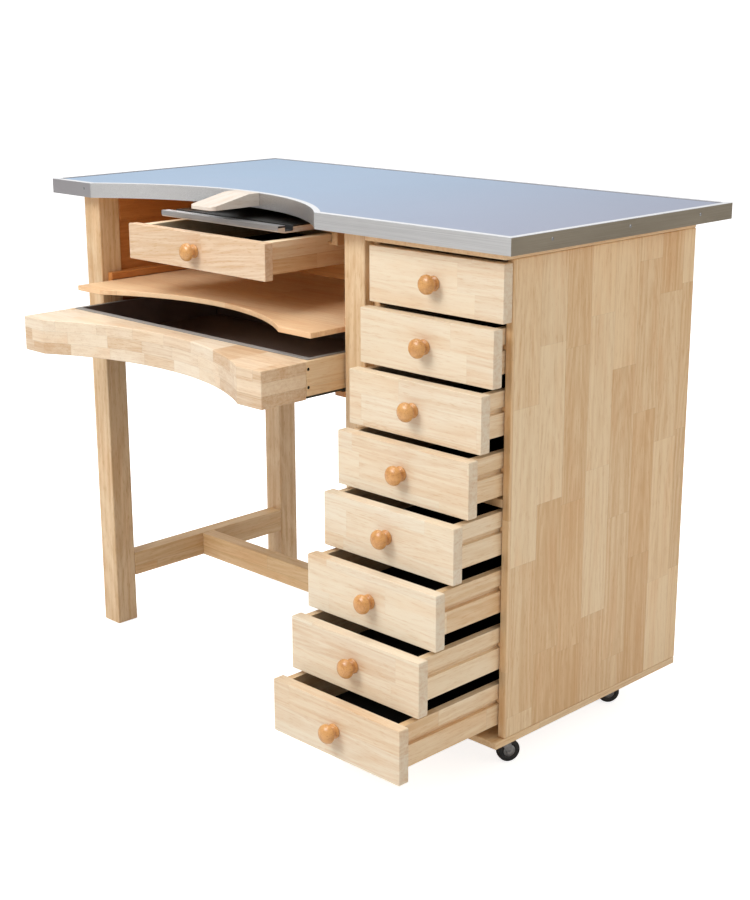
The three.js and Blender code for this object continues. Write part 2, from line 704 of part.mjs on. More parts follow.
// Runners under the table top: a foot for the shallow drawer's strip and a groove for the slide-out board
function addUpperRunners(parent) {
  const rear = UPPER_RUNNER_SETBACK + UPPER_RUNNER_LENGTH;
  const footTop = upperBoxTop - UPPER_STRIP_HEIGHT - SLIDE_GAP;
  const ledgeTop = slideBoardBottom - SLIDE_GAP;
  const grooveTop = slideBoardTop + SLIDE_GAP;
  const stripFace = UPPER_BOX_WIDTH / 2 + UPPER_STRIP_WIDTH;
  const webInner = stripFace + RUNNER_STRIP_GAP;
  const webOuter = webInner + RUNNER_WEB;
  const footInner = UPPER_BOX_WIDTH / 2 + SLIDE_GAP;
  const ledgeInner = SLIDE_BOARD_WIDTH / 2 - SLIDE_BOARD_BEARING;
  const sections = [
    [webInner, webOuter, footTop - RUNNER_FOOT_THICK, frameTop],
    [footInner, webInner, footTop - RUNNER_FOOT_THICK, footTop],
    [ledgeInner, webInner, ledgeTop - RUNNER_LEDGE_THICK, ledgeTop],
    [ledgeInner, webInner, grooveTop, frameTop],
  ];
  for (const [name, side] of [["upper_runner_left", -1], ["upper_runner_right", 1]]) {
    const bars = sections.map(([inner, outer, z0, z1]) => {
      const ends = [workCentre + side * inner, workCentre + side * outer];
      return block(Math.min(...ends), Math.max(...ends), UPPER_RUNNER_SETBACK, rear, z0, z1);
    });
    piece(parent, name, join(...bars), "wood");
  }
}

// Black-faced board with a tool groove behind its front lip, one side shape carried across
function addSlideBoard(parent) {
  const front = SLIDE_BOARD_REST_FRONT;
  const rear = front + SLIDE_BOARD_LENGTH;
  const grooveFront = front + LIP_DEPTH;
  const grooveRear = grooveFront + TOOL_GROOVE_WIDTH;
  const grooveFloor = slideBoardTop - TOOL_GROOVE_DEPTH;
  const side = new THREE.Shape();
  side.moveTo(front, slideBoardBottom + LIP_UNDERCUT);
  side.lineTo(grooveFront, slideBoardBottom);
  side.lineTo(rear, slideBoardBottom);
  side.lineTo(rear, slideBoardTop);
  side.lineTo(grooveRear + TOOL_GROOVE_SLOPE, slideBoardTop);
  side.lineTo(grooveRear, grooveFloor);
  side.lineTo(grooveFront, grooveFloor);
  side.lineTo(grooveFront, slideBoardTop);
  side.lineTo(front, slideBoardTop);
  side.closePath();
  const board = carryAlongX(side, workCentre - SLIDE_BOARD_WIDTH / 2, workCentre + SLIDE_BOARD_WIDTH / 2);
  piece(parent, "slide_board", board, "blackBoard");
}

// Height of the middle of the runners of a drawer, counted from the top at 0
function runnerHeight(index) {
  return stackTop - index * drawerPitch - BOX_LOWER - DRAWER_RUNNER_DROP;
}

// Runners of all the drawers on one panel, between x0 and x1
function drawerRunners(x0, x1) {
  const runners = [];
  for (let index = 0; index < drawerCount; index += 1) {
    const middle = runnerHeight(index);
    runners.push(
      block(
        x0,
        x1,
        panelFront + DRAWER_RUNNER_SETBACK,
        backPanelFront - FIT_GAP,
        middle - DRAWER_RUNNER_HEIGHT / 2,
        middle + DRAWER_RUNNER_HEIGHT / 2,
      ),
    );
  }
  return runners;
}

// Cabinet: posts, panels with the drawer runners glued on, top, base and back
function addCabinet(parent) {
  const frontPost = block(bayRight, postRight, frameFront, frontLegRear, carcassBottom, frameTop);
  piece(parent, "post_front", frontPost, "wood");
  const rearPost = block(bayRight, postRight, rearLegFront, frameRear, carcassBottom, frameTop);
  piece(parent, "post_rear", rearPost, "wood");
  const rightPanel = block(drawerBayRight, cabinetRight, panelFront, frameRear, carcassBottom, carcassTop);
  const rightRunners = drawerRunners(drawerBayRight - DRAWER_RUNNER_PROUD, drawerBayRight);
  piece(parent, "cabinet_right_panel", join(rightPanel, ...rightRunners), "wood");
  const leftPanel = block(leftPanelOuter, drawerBayLeft, panelFront, frameRear, carcassBottom, carcassTop);
  const leftRunners = drawerRunners(drawerBayLeft, drawerBayLeft + DRAWER_RUNNER_PROUD);
  piece(parent, "cabinet_left_panel", join(leftPanel, ...leftRunners, midRail()), "wood");
  const inner = [drawerBayLeft + FIT_GAP, drawerBayRight - FIT_GAP];
  const back = block(...inner, backPanelFront, frameRear, carcassBottom, carcassTop);
  piece(parent, "cabinet_back_panel", back, "wood");
  const base = block(bayRight, cabinetRight, frameFront, frameRear, baseBottom, baseTop);
  piece(parent, "cabinet_base", base, "wood");
  const top = block(leftPanelOuter, cabinetRight, frameFront, frameRear, cabinetTopBottom, frameTop);
  piece(parent, "cabinet_top", top, "wood");
}

// Rail across the middle of the cabinet, tenoned into the left panel, between two drawer boxes
function midRail() {
  const lowerBoxTop = stackTop - MID_RAIL_ABOVE_DRAWER * drawerPitch - BOX_LOWER;
  const upperBoxBottom = lowerBoxTop + BOX_LOWER + DRAWER_GAP + BOX_RAISE;
  const middle = (lowerBoxTop + upperBoxBottom) / 2;
  return block(
    drawerBayLeft,
    drawerBayRight - FIT_GAP,
    panelFront,
    panelFront + MID_RAIL_DEPTH,
    middle - MID_RAIL_THICK / 2,
    middle + MID_RAIL_THICK / 2,
  );
}

// One cabinet drawer in its closed place, inside a group that pulls it out
function addDrawer(parent, index) {
  const drawer = new THREE.Group();
  drawer.position.y = -DRAWER_PULLS[index];
  parent.add(drawer);
  const name = `drawer_${index + 1}`;
  const top = stackTop - index * drawerPitch;
  const bottom = top - frontHeight;
  const frontLeft = drawerBayLeft - FRONT_LEFT_LAP;
  const frontRight = cabinetRight - FRONT_RIGHT_INSET;
  const rearOfFront = frameFront + FRONT_THICK;
  const front = block(frontLeft, frontRight, frameFront, rearOfFront, bottom, top);
  piece(drawer, `${name}_front`, front, "wood");
  const boxLeft = drawerBayLeft + BOX_SIDE_GAP;
  const boxRight = drawerBayRight - BOX_SIDE_GAP;
  const boxFront = rearOfFront + FIT_GAP;
  const boxRear = backPanelFront - BOX_REAR_GAP;
  const box = openBox(boxLeft, boxRight, boxFront, boxRear, bottom + BOX_RAISE, top - BOX_LOWER);
  const grooveDepth = DRAWER_RUNNER_PROUD - BOX_SIDE_GAP + RUNNER_GAP;
  const middle = runnerHeight(index);
  const half = DRAWER_RUNNER_HEIGHT / 2 + RUNNER_GAP;
  const cutFront = boxFront - CUT_OVERRUN;
  const cutRear = boxRear + CUT_OVERRUN;
  const grooves = [
    block(boxLeft - CUT_OVERRUN, boxLeft + grooveDepth, cutFront, cutRear, middle - half, middle + half),
    block(boxRight - grooveDepth, boxRight + CUT_OVERRUN, cutFront, cutRear, middle - half, middle + half),
  ];
  piece(drawer, `${name}_box`, cut(box, ...grooves), "wood");
  const knobX = (frontLeft + frontRight) / 2;
  piece(drawer, `${name}_knob`, knobAt(knobX, frameFront, (top + bottom) / 2), "knobWood");
}

// Side plate of a caster fork, from its top down to the axle, in Y and Z with the wheel behind the stem
function forkPlateSide(top) {
  const side = new THREE.Shape();
  side.moveTo(-FORK_FRONT_REACH, top);
  side.lineTo(CASTER_TRAIL - FORK_EAR_RADIUS, WHEEL_RADIUS);
  side.absarc(CASTER_TRAIL, WHEEL_RADIUS, FORK_EAR_RADIUS, Math.PI, Math.PI * 2, false);
  side.lineTo(FORK_REAR_REACH, top);
  side.closePath();
  return side;
}

// Swivel caster at x and y, turned about its stem; at no turn the wheel trails to the back
function addCaster(parent, name, x, y, turn) {
  const caster = new THREE.Group();
  caster.position.set(x, y, 0);
  caster.rotation.z = THREE.MathUtils.degToRad(turn - 90);
  parent.add(caster);
  const forkTop = baseBottom - FIT_GAP - STEM_HEIGHT;
  const forkBottom = forkTop - FORK_TOP_THICK;
  const inner = WHEEL_WIDTH / 2 + WHEEL_GAP;
  const outer = inner + FORK_PLATE;
  const side = forkPlateSide(forkBottom + FORK_OVERLAP);
  const axleEnd = outer + AXLE_PROUD;
  const fork = join(
    uprightBar(0, 0, FORK_TOP_RADIUS, forkBottom, forkTop, WHEEL_SIDES),
    uprightBar(0, 0, STEM_RADIUS, forkBottom, baseBottom - FIT_GAP, WHEEL_SIDES),
    carryAlongX(side, -outer, -inner, FORK_ARC_STEPS),
    carryAlongX(side, inner, outer, FORK_ARC_STEPS),
    crossBar(AXLE_RADIUS, -axleEnd, axleEnd, CASTER_TRAIL, WHEEL_RADIUS, WHEEL_SIDES / 2),
  );
  piece(caster, `caster_${name}_fork`, fork, "steel");
  const half = WHEEL_WIDTH / 2;
  const end = half + CUT_OVERRUN;
  const roundBar = (radius, x0, x1) => crossBar(radius, x0, x1, CASTER_TRAIL, WHEEL_RADIUS, WHEEL_SIDES);
  const wheel = cut(
    roundBar(WHEEL_RADIUS, -half, half),
    roundBar(WHEEL_HUB_RADIUS, half - WHEEL_HUB_RECESS, end),
    roundBar(WHEEL_HUB_RADIUS, -end, WHEEL_HUB_RECESS - half),
    roundBar(AXLE_RADIUS + AXLE_GAP, -end, end),
  );
  piece(caster, `caster_${name}_wheel`, wheel, "tyre");
}

// Four casters under the corners of the base board
function addCasters(parent) {
  const left = bayRight + CASTER_INSET;
  const right = cabinetRight - CASTER_INSET;
  const front = frameFront + CASTER_FRONT_INSET;
  const rear = frameRear - CASTER_REAR_INSET;
  addCaster(parent, "front_right", right, front, CASTER_TURNS.front_right);
  addCaster(parent, "rear_right", right, rear, CASTER_TURNS.rear_right);
  addCaster(parent, "front_left", left, front, CASTER_TURNS.front_left);
  addCaster(parent, "rear_left", left, rear, CASTER_TURNS.rear_left);
}

// The origin is on the floor, below the middle of the bench as it stands at rest
function restMiddle() {
  const knobFront = frameFront - Math.max(...DRAWER_PULLS) - KNOB_LENGTH;
  const foremost = Math.min(knobFront, TRAY_REST_FRONT, SHELF_REST_FRONT, 0);
  return (foremost + TOP_DEPTH) / 2;
}

const bench = new THREE.Group();
bench.name = "jewellers_bench";
const pieces = new THREE.Group();
pieces.position.y = -restMiddle();
bench.add(pieces);
addTableTop(pieces);
addBenchPin(pieces);
addLegsAndStretchers(pieces);
addBayBoards(pieces);
addShelf(pieces);
addCatchTray(pieces);
addUpperDrawer(pieces);
addUpperRunners(pieces);
addSlideBoard(pieces);
addCabinet(pieces);
DRAWER_PULLS.forEach((pull, index) => addDrawer(pieces, index));
addCasters(pieces);

export default bench;
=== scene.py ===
import json
import math

import bmesh
import bpy
import numpy as np
from mathutils import Matrix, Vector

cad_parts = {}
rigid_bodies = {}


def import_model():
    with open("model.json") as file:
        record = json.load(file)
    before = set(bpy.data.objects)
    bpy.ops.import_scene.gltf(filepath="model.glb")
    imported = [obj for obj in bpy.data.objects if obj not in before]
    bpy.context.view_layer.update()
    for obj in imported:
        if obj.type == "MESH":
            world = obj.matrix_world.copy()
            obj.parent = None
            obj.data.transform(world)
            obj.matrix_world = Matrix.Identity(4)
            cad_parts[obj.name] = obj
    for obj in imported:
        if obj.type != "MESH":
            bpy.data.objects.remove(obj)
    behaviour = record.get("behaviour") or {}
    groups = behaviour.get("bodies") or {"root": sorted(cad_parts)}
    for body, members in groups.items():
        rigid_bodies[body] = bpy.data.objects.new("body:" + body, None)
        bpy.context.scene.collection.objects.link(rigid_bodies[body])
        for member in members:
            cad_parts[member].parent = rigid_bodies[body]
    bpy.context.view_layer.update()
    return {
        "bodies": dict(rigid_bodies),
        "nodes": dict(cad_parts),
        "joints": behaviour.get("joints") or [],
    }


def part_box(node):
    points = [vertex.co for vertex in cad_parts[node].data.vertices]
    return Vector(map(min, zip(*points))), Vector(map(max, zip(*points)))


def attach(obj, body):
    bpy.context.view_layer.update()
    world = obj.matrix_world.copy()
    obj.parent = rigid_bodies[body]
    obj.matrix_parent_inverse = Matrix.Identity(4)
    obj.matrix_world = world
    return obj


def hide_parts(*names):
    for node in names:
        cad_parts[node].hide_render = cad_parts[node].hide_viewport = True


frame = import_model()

# Camera at the photograph's place, in metres and degrees
CAMERA_PLACE = (2.17807, -2.06181, 1.30083)
CAMERA_AZIMUTH = 44.82
CAMERA_ELEVATION = 15.74
CAMERA_ROLL = -0.13
CAMERA_LENS = 64.04
CAMERA_SENSOR = 36.0
CAMERA_NEAR = 0.05
CAMERA_FAR = 100

# Studio, in metres and watts
WORLD_STRENGTH = 0.5
KEY_PLACE = (-0.4, -3.2, 3.5)
KEY_SIZE = 2.2
KEY_POWER = 118
SIDE_PLACE = (3.3, 1.0, 2.4)
SIDE_TARGET = (0.4, 0, 0.5)
SIDE_SIZE = 1.6
SIDE_POWER = 16
SIDE_COLOUR = (1.0, 0.95, 0.88)
TOP_PLACE = (-0.6, 0.4, 4.0)
TOP_SIZE = 2.5
TOP_POWER = 72
MIDDLE = (0, 0, 0.5)  # what the key and top lights point at
FLOOR_FLAT = 5.0  # radius of the level part
FLOOR_REACH = 9.0
FLOOR_RISE = 3.4
FLOOR_GAP = 0.0005  # below the part
FLOOR_RINGS = 60
FLOOR_SIDES = 96
FLOOR_ROUGHNESS = 0.9
FLOOR_GLOW = 0.8

# Edge rounding of the CAD pieces, in metres
WOOD_EDGE = 0.0018
LEG_EDGE = 0.0028
TRAY_EDGE = 0.005
METAL_EDGE = 0.0004
EDGE_SEGMENTS = 3
EDGE_ANGLE = math.radians(40)
WELD_DISTANCE = 0.00001
MERGE_DISTANCE = 1e-7  # points of a new piece nearer than this are one

# Where a colour starts or ends on a piece, in metres
MASK_SOFT = 0.0003  # half the width over which one colour passes into another
SKIN = 0.0008  # depth of a face coloured apart from the rest of the piece
SEAM_SHADOW_WIDTH = 0.0045  # painted shadow line between the sheet and the rim
STRIP_END = 0.129  # length of the short straight strip at the left of the band's front
FACING = 0.0025  # black facing of the slide-out board
LIP_DEPTH = 0.017
GROOVE_DEPTH = 0.009
GROOVE_REACH = 0.018  # groove and its leaning rear wall
TRAY_BOTTOM = 0.004
PAN_FLANGE = 0.0013
RIB_PITCH = 0.006
TRAY_ROWS_BELOW = 28  # whole rows of blocks between the floor and the tray front's lower edge
LILAC_CENTRE = 1 / 3  # middle of the turn towards lilac, as a share of half the sheet's width

# Noise of the wood, the metals and the coats, with repeats per metre along and across the grain
STREAK_NOISE = {"repeats": (2.6, 130.0), "detail": 4.0, "roughness": 0.6}
WANDER_NOISE = {"repeats": (3.0, 16.0), "detail": 2.0, "roughness": 0.45}
PORE_NOISE = {"repeats": (55.0, 620.0), "detail": 1.0, "roughness": 0.5}
BLUSH_NOISE = {"repeats": (5.0, 26.0), "detail": 3.0, "roughness": 0.55}
BRUSH_NOISE = {"repeats": (6.0, 1400.0), "detail": 3.0, "roughness": 0.6}
SHEEN_NOISE = {"repeats": (5.0, 20.0), "detail": 3.0, "roughness": 0.5}
CLOUD_NOISE = {"Scale": 1.0, "Detail": 4.0, "Roughness": 0.55}
SPECK_NOISE = {"Scale": 1300.0, "Detail": 1.0}

# Values at which an effect starts and at which it is full
STREAK_RANGE = (0.34, 0.68)
PORE_RANGE = (0.56, 0.70)
BLUSH_RANGE = (0.46, 0.74)
TONE_RANGE = (-0.05, 0.95)
BRUSH_RANGE = (0.3, 0.7)
CLOUD_RANGE = (0.35, 0.7)
SPECK_RANGE = (0.58, 0.72)
RIB_RANGE = (0.2, 0.9)

# Figure and finish of the wood
STAVE_SHIFT = 7.3  # how far the ends of staves move from row to row, in staves
FIGURE_SHIFT = 13.0  # how far the figure moves from stave to stave
ARCH_CURVE = 3.4
ARCH_LENGTH = 2.4
ARCH_WANDER = 2.2
ARCH_RINGS = 17.0
JOINT_WIDTH = 0.0008
STREAK_SHARE = 0.55
RING_SHARE = 0.16
PORE_SHARE = 0.5
WARMTH_SHARE = 0.7
STREAK_HEIGHT = 0.4
WOOD_ROUGHNESS = 0.34
WOOD_SPREAD = 0.16  # how much rougher the streaks are
WOOD_BUMP = 0.0002
LACQUER_ROUGHNESS = 0.25

# Finish of the metals, paints and mats
BRUSH_SHARE = 0.6
SHEEN_SHARE = 0.4
BRUSH_ROUGHNESS = 0.22
BRUSH_SPREAD = 0.25
BRUSH_BUMP = 0.00005
SPECK_SHARE = 0.35
SPECK_HEIGHT = 0.3
COAT_SPREAD = 0.18
COAT_BUMP = 0.0001
BUMP_STRENGTH = 0.5
FACING_SIZE = 0.06
FACING_GLOSS = 0.55
MAT_SHINE = 0.08

# Turned pieces: corners as (radius, distance along the axis), in metres
CURVE_STEPS = 5  # points on the curve that rounds a corner
CURVE_SHARE = 0.45  # largest share of a line that the curve at one of its ends takes
STEEP = 0.9  # share of Z in an axis above which X is its helper direction

# Turned knob
KNOB_START = 0.0003  # distance of the rear face, which meets the drawer front
KNOB_CORNERS = [
    (0.0, KNOB_START), (0.013, KNOB_START), (0.013, 0.0030), (0.0118, 0.0036), (0.0124, 0.0048),
    (0.0092, 0.0062), (0.0088, 0.0100), (0.0100, 0.0128), (0.0158, 0.0142), (0.0170, 0.0172),
    (0.0160, 0.0222), (0.0118, 0.0264), (0.0060, 0.0286), (0.0, 0.029),
]
KNOB_ROUNDING = 0.0022
KNOB_SIDES = 40

# Casters
AXLE_RADIUS = 0.0036
TYRE_RADIUS = 0.0210
TYRE_FACE = 0.0062  # from the middle of the wheel to the face of its core
TYRE_WALL = 0.0080  # from the middle of the wheel to the side of its tyre
TYRE_HALF = [
    (AXLE_RADIUS, TYRE_FACE), (0.0085, TYRE_FACE), (0.0115, 0.0068),
    (0.0135, TYRE_WALL), (0.0190, TYRE_WALL), (0.0208, 0.0055),
]
TYRE_ROUNDING = 0.0016
TYRE_SIDES = 48
HUB_CORNERS = [(AXLE_RADIUS, 0.0), (AXLE_RADIUS, 0.0008), (0.0080, 0.0012), (0.0110, 0.0006), (0.0112, 0.0)]
HUB_GAP = 0.0001
RACE_INNER = 0.0085
RACE_OUTER = 0.015
RACE_BULGE = 0.0158
RACE_HEIGHT = 0.0016
RACE_CORNERS = [
    (RACE_INNER, 0.0), (RACE_OUTER, 0.0), (RACE_BULGE, RACE_HEIGHT / 2),
    (RACE_OUTER, RACE_HEIGHT), (RACE_INNER, RACE_HEIGHT),
]
RACE_DROP = 0.0020  # from the base board to the race's lower face
RING_ROUNDING = 0.0004
RING_SIDES = 40

# Drawer linings, in metres
LINING_THICK = 0.0012
LINING_LIFT = 0.0002  # above the bottom board
LINING_SIDE = 0.0135  # from the outside of a box's side
LINING_FRONT = 0.0005
LINING_BACK = 0.0125
BOX_FLOOR = 0.009  # top of the bottom board above the lower edge of a box
HANGING_STRIP = 0.008  # outside each side of the shallow drawer's box
SLAB_EDGE = 0.0006
SLAB_SIDES = 48
SLAB_CORNER = 0.06  # power that squares the outline: 1 is an oval and 0 a sharp rectangle

# Cap on the lip of the slide-out board, in metres
CAP_THICK = 0.0008
CAP_GAP = 0.0002
CAP_DROP = 0.0075
CAP_DEPTH = 0.0166

# Nails of the edge band and screws of the catch tray, in metres
SCREW_CORNERS = [(0.0, 0.0), (0.0030, 0.0), (0.0026, 0.0003), (0.0016, 0.0008), (0.0, 0.0010)]
SCREW_ROUNDING = 0.0004
SCREW_SIDES = 24
NAIL_DROP = 0.012  # below the top of the band
SIDE_NAILS = (0.10, 0.305, 0.51)  # from the front of the band
FRONT_NAIL = 0.108  # from the left end of the band
REAR_NAILS = (0.11, 0.43, 0.79, 1.11)
TRAY_SCREW_SETBACK = 0.0045
TRAY_SCREW_DROPS = (0.0137, 0.0458)

# Colours, linear
PANEL_LIGHT = (0.93, 0.72, 0.46, 1)
PANEL_DARK = (0.70, 0.43, 0.20, 1)
FRONT_LIGHT = (0.84, 0.74, 0.58, 1)
FRONT_DARK = (0.68, 0.46, 0.27, 1)
BLOCK_LIGHT = (0.86, 0.74, 0.58, 1)
BLOCK_DARK = (0.58, 0.37, 0.20, 1)
UPPER_LIGHT = (0.83, 0.67, 0.51, 1)
UPPER_DARK = (0.62, 0.39, 0.20, 1)
BOX_LIGHT = (0.95, 0.79, 0.57, 1)
BOX_DARK = (0.76, 0.52, 0.28, 1)
SHELF_LIGHT = (0.97, 0.72, 0.46, 1)
SHELF_DARK = (0.80, 0.50, 0.27, 1)
RAIL_LIGHT = (0.82, 0.60, 0.36, 1)
RAIL_DARK = (0.62, 0.38, 0.17, 1)
LEG_LIGHT = (0.82, 0.63, 0.41, 1)
LEG_DARK = (0.53, 0.30, 0.12, 1)
PIN_LIGHT = (0.74, 0.68, 0.62, 1)
PIN_DARK = (0.62, 0.52, 0.43, 1)
# Painted shade: darker, redder copy of the wood for the bay's boards
BAY_SHADED_LIGHT = (0.66, 0.30, 0.095, 1)
BAY_SHADED_DARK = (0.48, 0.18, 0.042, 1)
KNOB_LIGHT = (0.75, 0.39, 0.12, 1)
KNOB_DARK = (0.44, 0.17, 0.03, 1)
STAVE_WARMTH = (1.0, 0.93, 0.84, 1)
BLUSH = (0.93, 0.76, 0.60, 1)
SHEET_BLUE = (0.37, 0.495, 0.655, 1)
SHEET_CLOUD = (0.37, 0.475, 0.62, 1)
SHEET_LILAC = (0.35, 0.375, 0.475, 1)
# Painted shadow: dark line on the sheet where the rim meets it
SHEET_EDGE_SHADOW = (0.06, 0.045, 0.05, 1)
STEEL = (0.90, 0.90, 0.90, 1)
STEEL_DARK = (0.68, 0.68, 0.68, 1)
# Painted shade: duller metal for the short straight strip at the left of the band's front
STEEL_STRIP_SHADE = (0.60, 0.58, 0.60, 1)
# Painted shade: browner, darker brushed metal for the band's right side
STEEL_SHADED_SIDE = (0.46, 0.40, 0.31, 1)
STEEL_SHADED_SIDE_DARK = (0.33, 0.28, 0.21, 1)
CAP_LIGHT = (0.66, 0.66, 0.67, 1)
CAP_DARK = (0.38, 0.38, 0.39, 1)
# Painted highlight: plain pale colour for the band's level top
RIM_HIGHLIGHT = (0.70, 0.71, 0.73, 1)
ZINC = (0.42, 0.43, 0.44, 1)
ZINC_SPOT = (0.25, 0.25, 0.26, 1)
ENAMEL = (0.19, 0.135, 0.115, 1)
ENAMEL_SPOT = (0.23, 0.17, 0.145, 1)
PAN_GREY = (0.30, 0.29, 0.28, 1)
BLACK = (0.006, 0.006, 0.006, 1)
BLACK_SPOT = (0.014, 0.013, 0.012, 1)
GREEN_BLACK = (0.012, 0.030, 0.018, 1)
RIB_GREEN = (0.012, 0.016, 0.014, 1)
RUBBER = (0.016, 0.016, 0.017, 1)
RUBBER_SPOT = (0.035, 0.034, 0.033, 1)
FLOOR_WHITE = (0.75, 0.74, 0.73, 1)
WHITE = (1, 1, 1, 1)
WHITE_LIGHT = (1, 1, 1)

# Orders of the object axes: along the grain, across it and into the board
X_AXIS = 0
Y_AXIS = 1
Z_AXIS = 2
PLAIN_ORDER = (X_AXIS, Y_AXIS, Z_AXIS)
GRAIN_X = (X_AXIS, Z_AXIS, Y_AXIS)
GRAIN_X_FLAT = (X_AXIS, Y_AXIS, Z_AXIS)
GRAIN_Y = (Y_AXIS, Z_AXIS, X_AXIS)
GRAIN_Y_FLAT = (Y_AXIS, X_AXIS, Z_AXIS)
GRAIN_Z = (Z_AXIS, Y_AXIS, X_AXIS)

# Numbers of the colour sockets of a Mix node
MIX_FACTOR = 0
MIX_FIRST = 6
MIX_SECOND = 7
MIX_RESULT = 2

# Bodies and joints of the part
JOINTS = {joint["name"]: joint for joint in frame["joints"]}
CABINET_DRAWERS = [name for name in frame["bodies"] if name.startswith("drawer_")]
DRAWERS = CABINET_DRAWERS + ["upper_drawer"]
CASTERS = ("front_right", "rear_right", "front_left", "rear_left")


# Node helpers

def feed(tree, socket, value):
    """Links an input to another node's socket, or sets it to a plain value."""
    if isinstance(value, bpy.types.NodeSocket):
        tree.links.new(value, socket)
    else:
        socket.default_value = value


def add(tree, kind, values=None, **settings):
    """Adds a node, sets its settings, and feeds each named or numbered input."""
    node = tree.nodes.new(kind)
    for key, value in settings.items():
        setattr(node, key, value)
    for key, value in (values or {}).items():
        feed(tree, node.inputs[key], value)
    return node


def calc(tree, operation, *values):
    """Result of a Math node with the values given."""
    return add(tree, "ShaderNodeMath", dict(enumerate(values)), operation=operation).outputs[0]


def blend_colour(tree, factor, first, second, mode="MIX"):
    """Result of a colour Mix node."""
    values = {MIX_FACTOR: factor, MIX_FIRST: first, MIX_SECOND: second}
    return add(tree, "ShaderNodeMix", values, data_type="RGBA", blend_type=mode).outputs[MIX_RESULT]


def ramp(tree, value, low, high, out_low=0.0, out_high=1.0):
    """Value taken from one range to another, smoothly and without going past its ends."""
    values = {"Value": value, "From Min": low, "From Max": high, "To Min": out_low, "To Max": out_high}
    return add(tree, "ShaderNodeMapRange", values, interpolation_type="SMOOTHSTEP").outputs[0]


def grain_noise(tree, grain, repeats, detail, roughness, shift=0.0):
    """Noise with its own number of repeats along and across the grain, moved by the shift."""
    along, across, depth = grain
    along_repeats, across_repeats = repeats
    x = calc(tree, "MULTIPLY_ADD", along, along_repeats, shift)
    y = calc(tree, "MULTIPLY", across, across_repeats)
    z = calc(tree, "MULTIPLY_ADD", depth, across_repeats, shift)
    point = add(tree, "ShaderNodeCombineXYZ", {0: x, 1: y, 2: z}).outputs[0]
    values = {"Vector": point, "Scale": 1.0, "Detail": detail, "Roughness": roughness}
    return add(tree, "ShaderNodeTexNoise", values).outputs[0]


def new_group(name, inputs):
    """Empty surface group with the inputs given and three outputs, together with its two end nodes."""
    tree = bpy.data.node_groups.new(name, "ShaderNodeTree")
    for label, (kind, value) in inputs.items():
        socket = tree.interface.new_socket(label, in_out="INPUT", socket_type=kind)
        if value is not None:
            socket.default_value = value
    outputs = {"Color": "NodeSocketColor", "Roughness": "NodeSocketFloat", "Height": "NodeSocketFloat"}
    for label, kind in outputs.items():
        tree.interface.new_socket(label, in_out="OUTPUT", socket_type=kind)
    return tree, tree.nodes.new("NodeGroupInput"), tree.nodes.new("NodeGroupOutput")


def finish_group(tree, end, colour, roughness, height):
    """Links the three results of a surface group."""
    for label, socket in (("Color", colour), ("Roughness", roughness), ("Height", height)):
        tree.links.new(socket, end.inputs[label])


